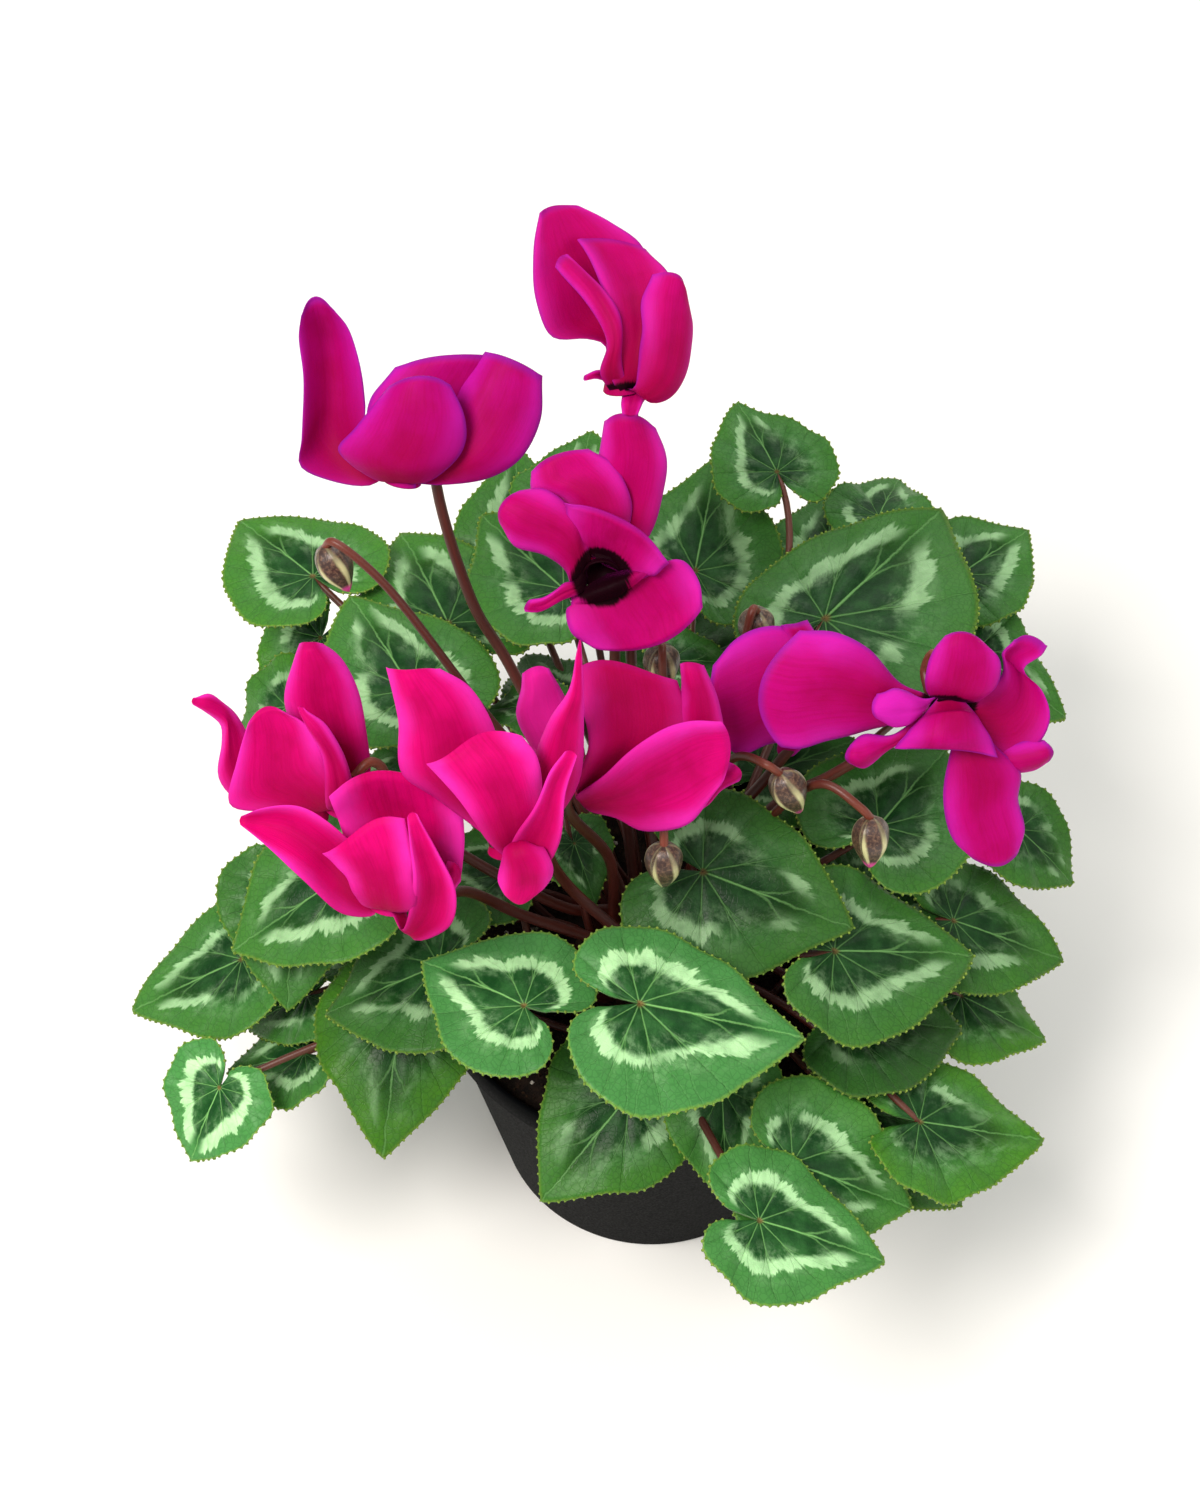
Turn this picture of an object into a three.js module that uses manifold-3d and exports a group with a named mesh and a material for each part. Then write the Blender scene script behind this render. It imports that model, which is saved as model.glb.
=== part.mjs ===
// Potted cyclamen: a black plastic nursery pot of soil, a tuber part-sunk in it, heart-shaped
// marbled leaves on long petioles, nine open magenta blooms on brown stalks and six nodding buds.
// Millimetres, +Z up, origin at the centre of the pot's underside. The plant's front faces -Y.

import * as THREE from 'three';
import { mergeVertices } from 'three/addons/utils/BufferGeometryUtils.js';
import Module from 'manifold-3d';

const wasm = await Module();
wasm.setup();

// ---------------------------------------------------------------- driving dimensions

const GAP = 0.3;
const SLIVER = 0.05;

const POT_HEIGHT = 95;
const POT_TOP_RADIUS = 60;
const POT_BASE_RADIUS = 43;
const POT_WALL = 1.3;
const POT_SIDES = 20;
const RIM_HEIGHT = 9;
const RIM_STEP = 2.4;
const DRAIN_COUNT = 6;
const DRAIN_RADIUS = 4;
const DRAIN_CIRCLE = 30;
const DRAIN_SIDES = 6;
const EDGE_ROUND = 1;

const SOIL_TOP = 86;
const SOIL_RELIEF = 0.9;

const TUBER_RADIUS = 24;
const TUBER_HALF_HEIGHT = 15;
const TUBER_TOP = 95;
const TUBER_SIDES = 14;
const TUBER_RINGS = 7;

const BLADE_THICKNESS = 0.85;
const TOOTH_DEPTH = 0.022;
const LARGE_LEAF = 30;
const PETIOLE_RADIUS = 1.15;
const PETIOLE_RISE = 21;
const PETIOLE_SINK = 1.3;
const PETIOLE_BEND = 0.3;
const PETIOLE_SIDES = 4;
const PETIOLE_STEPS = 4;
const MIDDLE_RING = 0.55;

const PETAL_THICKNESS = 0.8;
const THROAT_RADIUS = 4.8;
const THROAT_DEPTH = 8;
const CALYX_WALL = 1;
const STALK_RADIUS = 1.45;
const STALK_SIDES = 5;
const STALK_STEPS = 11;
const BUD_STEPS = 8;
const STALK_RISE = 9;
const BUD_STALK_RADIUS = 1.16;
const FLOWER_SIDES = 7;
const BUD_RADIUS = 4.6;

// How far out on the tuber's crown the stalks and the petioles stand.
const STALK_RING = 4.2;
const BUD_RING = 8.8;
const INNER_PETIOLE_RING = 13.4;
const OUTER_PETIOLE_RING = 18.6;

// ---------------------------------------------------------------- colours and finishes

const FINISHES = {
  potPlastic: { color: 0x15161a, roughness: 0.42 },
  soil: { color: 0x2a1c13, roughness: 0.95 },
  tuber: { color: 0x4a3426, roughness: 0.9 },
  leaf: { color: 0x2f6b3c, roughness: 0.45 },
  petal: { color: 0xc4107c, roughness: 0.6 },
  stalk: { color: 0x5a2419, roughness: 0.5 },
};

// ---------------------------------------------------------------- vectors and solids

const UP = new THREE.Vector3(0, 0, 1);

function vec(triple) {
  return new THREE.Vector3(...triple);
}

function radians(degrees) {
  return THREE.MathUtils.degToRad(degrees);
}

function solidFromTriangles(points, triangles) {
  const vertProperties = new Float32Array(points.flatMap((p) => [p.x, p.y, p.z]));
  const triVerts = new Uint32Array(triangles.flat());
  return new wasm.Manifold(new wasm.Mesh({ numProp: 3, vertProperties, triVerts }));
}

function solidFromGeometry(geometry) {
  const bare = geometry.clone();
  bare.deleteAttribute('normal');
  bare.deleteAttribute('uv');
  const merged = mergeVertices(bare, 1e-4);
  return new wasm.Manifold(new wasm.Mesh({
    numProp: 3,
    vertProperties: new Float32Array(merged.attributes.position.array),
    triVerts: new Uint32Array(merged.index.array),
  }));
}

// Joins solids, then keeps the largest body: sealed hollows fill and loose scrap drops away.
function fuse(solids) {
  const joined = solids.reduce((sum, solid) => sum.add(solid));
  return largestBody(joined).simplify(SLIVER);
}

function largestBody(solid) {
  const bodies = solid.decompose();
  return bodies.reduce((best, body) => (body.volume() > best.volume() ? body : best));
}

function geometryFromSolid(solid) {
  const mesh = solid.getMesh();
  const geometry = new THREE.BufferGeometry();
  geometry.setAttribute('position', new THREE.BufferAttribute(new Float32Array(mesh.vertProperties), 3));
  geometry.setIndex(new THREE.BufferAttribute(new Uint32Array(mesh.triVerts), 1));
  geometry.computeVertexNormals();
  return geometry;
}

function namedMesh(name, solid, finish) {
  const material = new THREE.MeshStandardMaterial({ ...finish, metalness: 0, flatShading: true });
  const mesh = new THREE.Mesh(geometryFromSolid(solid), material);
  mesh.name = name;
  return mesh;
}

// A tube of even thickness along a curve, with flat ends.
function tube(curve, radius, sides, steps) {
  const section = new THREE.Shape();
  for (let k = 0; k < sides; k += 1) {
    const angle = (2 * Math.PI * k) / sides;
    const x = radius * Math.cos(angle);
    const y = radius * Math.sin(angle);
    if (k === 0) {
      section.moveTo(x, y);
    } else {
      section.lineTo(x, y);
    }
  }
  section.closePath();
  const options = { steps, bevelEnabled: false, extrudePath: curve };
  return solidFromGeometry(new THREE.ExtrudeGeometry(section, options));
}

// Turns a lathe's profile of [radius, height] pairs about +Z.
function lathe(profile, sides) {
  const points = profile.map(([radius, height]) => new THREE.Vector2(radius, height));
  const geometry = new THREE.LatheGeometry(points, sides);
  geometry.rotateX(Math.PI / 2);
  return geometry;
}

// Stands a geometry made about +Z at a point, with its +Z along the axis.
function standAlong(geometry, point, axis) {
  const turn = new THREE.Quaternion().setFromUnitVectors(UP, axis);
  const placed = geometry.clone();
  placed.applyQuaternion(turn);
  placed.translate(point.x, point.y, point.z);
  return placed;
}

// ---------------------------------------------------------------- pot, soil and tuber

// The pot's inner wall leans out from the floor to the shoulder under the rim.
function potInnerRadius(height) {
  const shoulder = POT_HEIGHT - RIM_HEIGHT;
  const baseInner = POT_BASE_RADIUS - POT_WALL;
  const shoulderInner = POT_TOP_RADIUS - RIM_STEP - POT_WALL;
  return baseInner + (shoulderInner - baseInner) * (height / shoulder);
}

function makePot() {
  const shoulder = POT_HEIGHT - RIM_HEIGHT;
  const profile = [
    [0, 0],
    [POT_BASE_RADIUS - EDGE_ROUND, 0],
    [POT_BASE_RADIUS, EDGE_ROUND],
    [POT_TOP_RADIUS - RIM_STEP, shoulder],
    [POT_TOP_RADIUS, shoulder + EDGE_ROUND],
    [POT_TOP_RADIUS, POT_HEIGHT],
    [POT_TOP_RADIUS - POT_WALL, POT_HEIGHT],
    [POT_TOP_RADIUS - POT_WALL, shoulder + EDGE_ROUND + POT_WALL],
    [potInnerRadius(shoulder), shoulder],
    [potInnerRadius(POT_WALL), POT_WALL],
    [0, POT_WALL],
  ];
  let pot = solidFromGeometry(lathe(profile, POT_SIDES));
  for (let k = 0; k < DRAIN_COUNT; k += 1) {
    const angle = (2 * Math.PI * k) / DRAIN_COUNT;
    const drain = new THREE.CylinderGeometry(DRAIN_RADIUS, DRAIN_RADIUS, 4 * POT_WALL, DRAIN_SIDES);
    drain.rotateX(Math.PI / 2);
    drain.translate(DRAIN_CIRCLE * Math.cos(angle), DRAIN_CIRCLE * Math.sin(angle), 0);
    pot = pot.subtract(solidFromGeometry(drain));
  }
  return pot;
}

// The soil's surface is uneven by a formula, and level where it meets the pot's wall.
function soilRelief(x, y) {
  return SOIL_RELIEF * (Math.sin(x * 0.21) * Math.cos(y * 0.17) + 0.5 * Math.sin(x * 0.4 + y * 0.3));
}

function makeSoil() {
  const floor = POT_WALL + GAP;
  const wallRadius = (height) => potInnerRadius(height) - GAP - 0.05;
  const edge = wallRadius(SOIL_TOP - 1);
  const profile = [
    [0, floor],
    [wallRadius(floor), floor],
    [edge, SOIL_TOP - 1],
    [0.86 * edge, SOIL_TOP],
    [0.55 * edge, SOIL_TOP],
    [0, SOIL_TOP],
  ];
  const geometry = lathe(profile, POT_SIDES);
  const position = geometry.attributes.position;
  for (let k = 0; k < position.count; k += 1) {
    if (position.getZ(k) > SOIL_TOP - 0.5) {
      position.setZ(k, SOIL_TOP + soilRelief(position.getX(k), position.getY(k)));
    }
  }
  return largestBody(solidFromGeometry(geometry).subtract(tuberSolid(GAP)));
}

// The tuber is a flattened ball. With a gap added it is the hollow that it sits in.
function tuberSolid(gap) {
  const ball = new THREE.SphereGeometry(1, TUBER_SIDES, TUBER_RINGS);
  ball.rotateX(Math.PI / 2);
  ball.scale(TUBER_RADIUS + gap, TUBER_RADIUS + gap, TUBER_HALF_HEIGHT + gap);
  ball.translate(0, 0, TUBER_TOP - TUBER_HALF_HEIGHT);
  return solidFromGeometry(ball);
}

const TUBER_SKIN = new THREE.Mesh(geometryFromSolid(tuberSolid(0)));

// The place and outward direction of a stem's foot on the tuber's crown. The foot stands a gap
// clear of the facet under it.
function crownSeat(ring, azimuth) {
  const rise = TUBER_HALF_HEIGHT * Math.sqrt(1 - (ring / TUBER_RADIUS) ** 2);
  const out = new THREE.Vector3(Math.cos(azimuth), Math.sin(azimuth), 0);
  const normal = out.clone().multiplyScalar(ring / TUBER_RADIUS ** 2);
  normal.z = rise / TUBER_HALF_HEIGHT ** 2;
  normal.normalize();
  const above = out.multiplyScalar(ring);
  above.z = TUBER_TOP - TUBER_HALF_HEIGHT + rise;
  above.addScaledVector(normal, PETIOLE_RISE);
  const [hit] = new THREE.Raycaster(above, normal.clone().negate()).intersectObject(TUBER_SKIN);
  const foot = hit.point.clone().addScaledVector(normal, GAP);
  return { foot, normal };
}

// Deals feet out evenly round a ring of the crown, in the order of what stands on them, so
// that neighbouring stems fan out without crossing.
function dealSeats(plants, ring) {
  const azimuthOf = (plant) => Math.atan2(plant.reach[1], plant.reach[0]);
  const ordered = [...plants].sort((a, b) => azimuthOf(a) - azimuthOf(b));
  const step = (2 * Math.PI) / ordered.length;
  let sine = 0;
  let cosine = 0;
  ordered.forEach((plant, k) => {
    sine += Math.sin(azimuthOf(plant) - k * step);
    cosine += Math.cos(azimuthOf(plant) - k * step);
  });
  const start = Math.atan2(sine, cosine);
  ordered.forEach((plant, k) => {
    plant.seat = crownSeat(ring, start + k * step);
  });
}

// ---------------------------------------------------------------- leaves

// Half of a blade's outline as [angle from the midrib in degrees, distance from the hilum],
// in units of the length from the hilum to the tip. The notch behind the hilum ends it.
const BLADE_OUTLINE = [
  [0, 1],
  [10, 0.87],
  [26, 0.74],
  [48, 0.67],
  [74, 0.64],
  [100, 0.61],
  [125, 0.56],
  [146, 0.49],
  [159, 0.38],
  [168, 0.24],
];
const NOTCH_ANGLE = 168;

function bladeRadius(degrees) {
  const angle = Math.min(Math.abs(degrees), NOTCH_ANGLE);
  const after = BLADE_OUTLINE.findIndex(([at]) => at >= angle);
  if (after === 0) {
    return BLADE_OUTLINE[0][1];
  }
  const [angle0, radius0] = BLADE_OUTLINE[after - 1];
  const [angle1, radius1] = BLADE_OUTLINE[after];
  const share = (angle - angle0) / (angle1 - angle0);
  return radius0 + (radius1 - radius0) * share;
}

// A blade's frame: x runs from the hilum along the midrib, y to its left and z out of its face.
function bladeFrame(leaf) {
  const heading = radians(leaf.heading);
  const droop = radians(leaf.droop);
  const along = new THREE.Vector3(
    Math.cos(heading) * Math.cos(droop),
    Math.sin(heading) * Math.cos(droop),
    -Math.sin(droop),
  );
  const left = new THREE.Vector3(-Math.sin(heading), Math.cos(heading), 0);
  left.applyAxisAngle(along, radians(leaf.tilt));
  const face = new THREE.Vector3().crossVectors(along, left);
  return { along, left, face };
}

// How far the blade's surface lies above its flat plane: it arches down towards the margin,
// folds up along the midrib and waves near the margin.
function bladeHeight(leaf, x, y, share, degrees) {
  const across = Math.abs(y) / leaf.length;
  const arch = -leaf.arch * ((x / leaf.length) ** 2 + 1.3 * across ** 2);
  const fold = leaf.fold * across;
  const wave = leaf.wave * share ** 2 * Math.sin(radians(4 * degrees + 40 * leaf.order));
  return arch + fold + wave;
}

function bladePoint(leaf, frame, degrees, share, tooth) {
  const angle = radians(degrees);
  const radius = leaf.length * bladeRadius(degrees) * share * (1 + tooth);
  const x = radius * Math.cos(angle);
  const y = radius * Math.sin(angle) * leaf.spread * (1 - leaf.lean * Math.sign(degrees));
  const z = bladeHeight(leaf, x, y, share, degrees);
  return vec(leaf.hilum)
    .addScaledVector(frame.along, x)
    .addScaledVector(frame.left, y)
    .addScaledVector(frame.face, z);
}

// A toothed blade: a fan from the hilum to a middle ring, and a band from there to the margin,
// alike on its upper and lower face, closed by a rim.
function makeBlade(leaf) {
  const frame = bladeFrame(leaf);
  const segments = leaf.length > LARGE_LEAF ? 10 : 8;
  const upper = [vec(leaf.hilum)];
  for (let k = 0; k <= segments; k += 1) {
    const degrees = NOTCH_ANGLE * ((2 * k) / segments - 1);
    upper.push(bladePoint(leaf, frame, degrees, MIDDLE_RING, 0));
  }
  const margin = upper.length;
  for (let k = 0; k <= 2 * segments; k += 1) {
    const degrees = NOTCH_ANGLE * (k / segments - 1);
    const tooth = k % 2 === 1 ? TOOTH_DEPTH : -TOOTH_DEPTH;
    upper.push(bladePoint(leaf, frame, degrees, 1, k === segments ? TOOTH_DEPTH : tooth));
  }
  const faces = [];
  for (let k = 0; k < segments; k += 1) {
    const inner = 1 + k;
    const outer = margin + 2 * k;
    faces.push([0, inner, inner + 1]);
    faces.push([inner, outer, outer + 1]);
    faces.push([inner, outer + 1, inner + 1]);
    faces.push([inner + 1, outer + 1, outer + 2]);
  }
  const boundary = [0, 1];
  for (let k = 0; k <= 2 * segments; k += 1) {
    boundary.push(margin + k);
  }
  boundary.push(1 + segments);
  return thicken(upper, upper.map(() => frame.face), faces, boundary, BLADE_THICKNESS);
}

// Closes a skin of faces into a sheet of even thickness below it.
function thicken(upper, normals, faces, boundary, thickness) {
  const count = upper.length;
  const lower = upper.map((point, k) => point.clone().addScaledVector(normals[k], -thickness));
  const triangles = [...faces];
  faces.forEach(([a, b, c]) => triangles.push([a + count, c + count, b + count]));
  boundary.forEach((a, k) => {
    const b = boundary[(k + 1) % boundary.length];
    triangles.push([a, a + count, b + count]);
    triangles.push([a, b + count, b]);
  });
  return solidFromTriangles([...upper, ...lower], triangles);
}

// The petiole rises from its foot, clears the pot's rim and meets the hilum from below.
function makePetiole(leaf, seat) {
  const frame = bladeFrame(leaf);
  const hilum = vec(leaf.hilum).addScaledVector(frame.face, -leaf.sink);
  const out = new THREE.Vector3(hilum.x - seat.foot.x, hilum.y - seat.foot.y, 0);
  const span = out.length();
  out.normalize();
  const first = seat.foot.clone().addScaledVector(seat.normal, PETIOLE_RISE);
  const last = hilum.clone().addScaledVector(out, -PETIOLE_BEND * span);
  last.x -= leaf.sway * out.y;
  last.y += leaf.sway * out.x;
  last.z -= leaf.lift;
  const curve = new THREE.CubicBezierCurve3(seat.foot, first, last, hilum);
  return tube(curve, PETIOLE_RADIUS, PETIOLE_SIDES, PETIOLE_STEPS);
}

// Each leaf: place of its hilum; heading of its midrib in degrees from +X; droop of the midrib
// below the level; tilt about it; length from hilum to tip; spread across; then how far it
// arches and folds and waves; how far below the hilum its petiole's last bend lies, and how far
// to the left of a straight way out; and how far below the blade's upper face it ends.
function leaf(hilum, heading, droop, tilt, length, shape = {}) {
  const blade = { spread: 1, lean: 0, arch: 3, fold: 2, wave: 0.7 };
  const petiole = { lift: 12, sway: 0, sink: PETIOLE_SINK };
  const form = { ...blade, ...petiole, ...shape };
  return { hilum, heading, droop, tilt, length, ...form };
}

// A low leaf's petiole arches over the pot's rim and comes down to it.
const LOW = { lift: -8 };

// One entry is one petiole's foot with its leaf, or with two leaves that share it.
const INNER_LEAVES = [
  ['leaf_front', leaf([-5, -45, 140], -6, 9, 0, 41, { arch: 4, lean: 0.14 })],
  ['leaf_front_left', leaf([-33, -40, 130], 146, 6, 0, 33, { arch: 4 })],
  ['leaf_centre_right', leaf([11, -8, 141], -18, 10, 24, 40, { lean: 0.12 })],
  ['leaf_right', leaf([44, -22, 126], 11, 16, 6, 40, { sink: 0.7 })],
  ['leaf_right_back', leaf([57, 14, 128], 55, 4, 0, 33)],
  ['leaf_back_fold', leaf([44, 65, 149], 53, 8, 0, 58, { spread: 0.85, lean: 0.28, fold: 6 })],
  [
    'leaf_back_right',
    leaf([11, 88, 140], 80, -8, 0, 39, { spread: 0.94, lift: 20 }),
    leaf([4, 64, 132], 10, 6, 0, 18),
  ],
  ['leaf_back_middle', leaf([-24, 74, 150], 126, 8, 0, 38)],
  ['leaf_back_left_upper', leaf([-55, 75, 134], 111, 5, 0, 42)],
  ['leaf_back_left_lower', leaf([-63, 47, 142], 119, -2, 0, 37)],
  ['leaf_small_centre', leaf([-21, 5, 134], -67, 22, 0, 16), leaf([-30, 48, 134], 170, 10, 0, 16)],
];

const OUTER_LEAVES = [
  ['leaf_far_left_upper', leaf([-92, 91, 134], 130, 10, 0, 36)],
  ['leaf_far_left', leaf([-91, 84, 116], -130, 34, 0, 28), leaf([-99, 62, 114], -160, 40, 0, 26)],
  [
    'leaf_back_under_bloom',
    leaf([-37, 103, 124], 92, -20, 0, 35, { spread: 0.9 }),
    leaf([-22, 112, 138], 80, -8, 0, 28),
  ],
  ['leaf_back_top', leaf([33, 110, 155], 112, -8, 0, 27, { sway: -26 })],
  ['leaf_back_grey', leaf([48, 96, 132], 87, 8, 0, 33), leaf([62, 112, 134], 70, 12, 0, 24)],
  ['leaf_back_corner', leaf([85, 104, 118], 45, 8, 0, 32), leaf([88, 80, 115], -21, 26, 0, 32)],
  ['leaf_far_right', leaf([96, 25, 110], -26, 32, 0, 24)],
  ['leaf_right_under', leaf([77, -2, 108], -4, 24, 0, 34, { lift: 4 })],
  ['leaf_right_low', leaf([80, -14, 90], -12, 26, 0, 28, { lift: -11 })],
  ['leaf_right_shade', leaf([49, -30, 106], 10, 20, 0, 36, { lift: 4 })],
  ['leaf_front_right_low', leaf([66, -54, 96], 4, 21, 0, 35, LOW)],
  ['leaf_front_right_shade', leaf([48, -50, 94], -26, 28, 0, 42, { spread: 0.86, lift: -6 })],
  ['leaf_front_right_curled', leaf([33, -69, 103], -9, 24, 12, 36, { lift: -28 })],
  ['leaf_front_right_tip', leaf([24, -87, 108], -8, 18, 0, 33, { lift: -38 })],
  ['leaf_front_middle', leaf([16, -50, 106], -87, 30, -2, 30, { spread: 0.8, lift: 2 })],
  ['leaf_front_under', leaf([-7, -50, 103], -132, 16, -15, 34, { arch: 5, lift: 2 })],
  ['leaf_left_shade', leaf([-65, -26, 105], -98, 14, 0, 36, { arch: 12, lift: 3 })],
  ['leaf_left_hanging', leaf([-112, -41, 90], -125, 40, 0, 24, LOW)],
  ['leaf_left_under', leaf([-91, -30, 88], 176, 26, 0, 24, LOW), leaf([-91, -15, 92], -173, 30, 0, 22, LOW)],
  ['leaf_left_inner', leaf([-55, -22, 119], -172, 25, 0, 36, { lift: 4 })],
  ['leaf_far_left_tip', leaf([-108, -7, 97], -170, 26, 0, 34, LOW)],
  ['leaf_left_upper', leaf([-80, -3, 130], -157, 22, 0, 36), leaf([-94, 0, 118], -91, 28, 0, 30)],
];

function leafMeshes() {
  const meshes = [];
  let order = 0;
  const rings = [
    [INNER_LEAVES, INNER_PETIOLE_RING],
    [OUTER_LEAVES, OUTER_PETIOLE_RING],
  ];
  rings.forEach(([entries, ring]) => {
    const plants = entries.map(([name, ...leaves]) => ({ name, leaves, reach: leaves[0].hilum }));
    dealSeats(plants, ring);
    plants.forEach(({ name, leaves, seat }) => {
      const pieces = leaves.flatMap((each) => {
        order += 1;
        const grown = { ...each, order };
        return [makeBlade(grown), makePetiole(grown, seat)];
      });
      meshes.push(namedMesh(name, fuse(pieces), FINISHES.leaf));
    });
  });
  return meshes;
}

// ---------------------------------------------------------------- blooms

// A petal's width along its length, as a share of its widest.
const PETAL_WIDTHS = [0.2, 0.38, 0.76, 1, 0.68];
const PETAL_COLUMNS = 2;

// A petal springs from the throat's lip, turns out and back, and runs to its tip. It is cupped
// across and its tip is rounded.
function makePetal(bloom, petal, azimuth) {
  const { axis, side, across } = bloom.frame;
  const mouth = vec(bloom.mouth);
  const radial = side.clone().multiplyScalar(Math.cos(azimuth));
  radial.addScaledVector(across, Math.sin(azimuth));
  const tip = mouth.clone().add(vec(petal.tip));
  const root = mouth.clone().addScaledVector(radial, 0.82 * THROAT_RADIUS).addScaledVector(axis, -1.2);
  const turn = root.clone().addScaledVector(radial, 6).addScaledVector(axis, 4);
  const outward = vec(petal.faces).normalize();
  const belly = root.clone().lerp(tip, 0.6).addScaledVector(outward, petal.bow);
  const spine = new THREE.CubicBezierCurve3(root, turn, belly, tip);
  const acrossRoot = new THREE.Vector3().crossVectors(radial, axis).normalize();
  const acrossTip = new THREE.Vector3().crossVectors(spine.getTangent(0.8), outward).normalize();
  if (acrossRoot.dot(acrossTip) < 0) {
    acrossRoot.negate();
  }
  const upper = [];
  const normals = [];
  const rows = PETAL_WIDTHS.length - 1;
  for (let row = 0; row <= rows; row += 1) {
    const along = row / rows;
    const tangent = spine.getTangent(along);
    const blend = THREE.MathUtils.smoothstep(along, 0, 0.5);
    const width = acrossRoot.clone().lerp(acrossTip, blend);
    width.addScaledVector(tangent, -width.dot(tangent)).normalize();
    const normal = new THREE.Vector3().crossVectors(width, tangent).normalize();
    for (let column = 0; column <= PETAL_COLUMNS; column += 1) {
      const share = (2 * column) / PETAL_COLUMNS - 1;
      const point = spine.getPoint(along);
      point.addScaledVector(width, 0.5 * petal.width * PETAL_WIDTHS[row] * share);
      point.addScaledVector(normal, petal.cup * share ** 2 * Math.sin(Math.PI * 0.75 * along));
      if (row === rows) {
        point.addScaledVector(tangent, -0.16 * petal.width * (share ** 2 - 0.3));
      }
      upper.push(point.addScaledVector(normal, PETAL_THICKNESS / 2));
      normals.push(normal);
    }
  }
  const faces = gridFaces(rows, PETAL_COLUMNS);
  return thicken(upper, normals, faces, gridBoundary(rows, PETAL_COLUMNS), PETAL_THICKNESS);
}

function gridFaces(rows, columns) {
  const faces = [];
  const stride = columns + 1;
  for (let row = 0; row < rows; row += 1) {
    for (let column = 0; column < columns; column += 1) {
      const corner = row * stride + column;
      faces.push([corner, corner + 1, corner + stride + 1]);
      faces.push([corner, corner + stride + 1, corner + stride]);
    }
  }
  return faces;
}

function gridBoundary(rows, columns) {
  const stride = columns + 1;
  const boundary = [];
  for (let column = 0; column < columns; column += 1) {
    boundary.push(column);
  }
  for (let row = 0; row < rows; row += 1) {
    boundary.push(row * stride + columns);
  }
  for (let column = columns; column > 0; column -= 1) {
    boundary.push(rows * stride + column);
  }
  for (let row = rows; row > 0; row -= 1) {
    boundary.push(row * stride);
  }
  return boundary;
}

// The throat is the corolla's short cup, open at the mouth.
function makeThroat(bloom) {
  const radius = THROAT_RADIUS;
  const profile = [
    [0, -THROAT_DEPTH],
    [0.7 * radius, -0.85 * THROAT_DEPTH],
    [0.8 * radius, -0.4 * THROAT_DEPTH],
    [radius, 0],
    [0.62 * radius, 0],
    [0, -0.5 * THROAT_DEPTH],
  ];
  return solidFromGeometry(standAlong(lathe(profile, FLOWER_SIDES), vec(bloom.mouth), bloom.frame.axis));
}

// The calyx is a cup round the back of the throat.
function makeCalyx(bloom) {
  const inner = 0.8 * THROAT_RADIUS + GAP;
  const outer = inner + CALYX_WALL;
  const back = -THROAT_DEPTH - GAP;
  const lip = 0.6 * back;
  const profile = [
    [0, back - CALYX_WALL],
    [0.8 * outer, 0.85 * back - CALYX_WALL],
    [outer, lip],
    [inner, lip],
    [0.8 * inner, 0.86 * back],
    [0, back],
  ];
  return solidFromGeometry(standAlong(lathe(profile, FLOWER_SIDES), vec(bloom.mouth), bloom.frame.axis));
}

// The room that a bloom's stalk and calyx take among its petals.
function stalkRoom(bloom, curve) {
  const reach = 0.8 * THROAT_RADIUS + 2 * GAP + CALYX_WALL;
  const back = -THROAT_DEPTH - CALYX_WALL - 2 * GAP;
  const profile = [
    [0, back],
    [reach, 0.85 * back],
    [reach, 0.5 * back],
    [0, 0.5 * back],
  ];
  const room = standAlong(lathe(profile, FLOWER_SIDES), vec(bloom.mouth), bloom.frame.axis);
  const sleeve = tube(curve, STALK_RADIUS + GAP + SLIVER, STALK_SIDES, STALK_STEPS);
  return sleeve.add(solidFromGeometry(room));
}

// The stalk climbs past the mouth on the petals' open side, arches over and comes down into
// the calyx.
function stalkCurve(bloom, seat) {
  const { axis, side } = bloom.frame;
  const mouth = vec(bloom.mouth);
  const calyx = mouth.clone().addScaledVector(axis, -THROAT_DEPTH - CALYX_WALL);
  const neck = calyx.clone().addScaledVector(axis, -4.5).addScaledVector(side, 3.5);
  const shoulder = calyx.clone().addScaledVector(axis, -2).addScaledVector(side, 8.5);
  const waist = mouth.clone().addScaledVector(axis, -1).addScaledVector(side, 9.5);
  const rise = seat.foot.clone().addScaledVector(seat.normal, STALK_RISE);
  const points = [seat.foot, rise, ...bloom.via.map(vec), waist, shoulder, neck, calyx];
  return new THREE.CatmullRomCurve3(points, false, 'centripetal');
}

function bloomFrame(bloom) {
  const axis = vec(bloom.axis).normalize();
  const side = vec(bloom.side);
  side.addScaledVector(axis, -side.dot(axis)).normalize();
  const across = new THREE.Vector3().crossVectors(axis, side);
  return { axis, side, across };
}

// Petals stand evenly round the mouth, either side of the way that the stalk takes past it.
function makeCorolla(bloom, curve) {
  const { side, across } = bloom.frame;
  const azimuthOf = (petal) => {
    const tip = vec(petal.tip);
    const angle = Math.atan2(tip.dot(across), tip.dot(side));
    return angle < 0 ? angle + 2 * Math.PI : angle;
  };
  const ordered = [...bloom.petals].sort((a, b) => azimuthOf(a) - azimuthOf(b));
  const step = (2 * Math.PI) / ordered.length;
  const petals = ordered.map((petal, k) => makePetal(bloom, petal, (k + 0.5) * step));
  const whorl = petals.reduce((sum, each) => sum.add(each)).subtract(stalkRoom(bloom, curve));
  return fuse([makeThroat(bloom), whorl]);
}

const FACING_FRONT = [0, -0.57, 0.82];

function petal(tip, width, shape = {}) {
  const form = { faces: FACING_FRONT, bow: 3, cup: 3, ...shape };
  return { tip, width, ...form };
}

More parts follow.
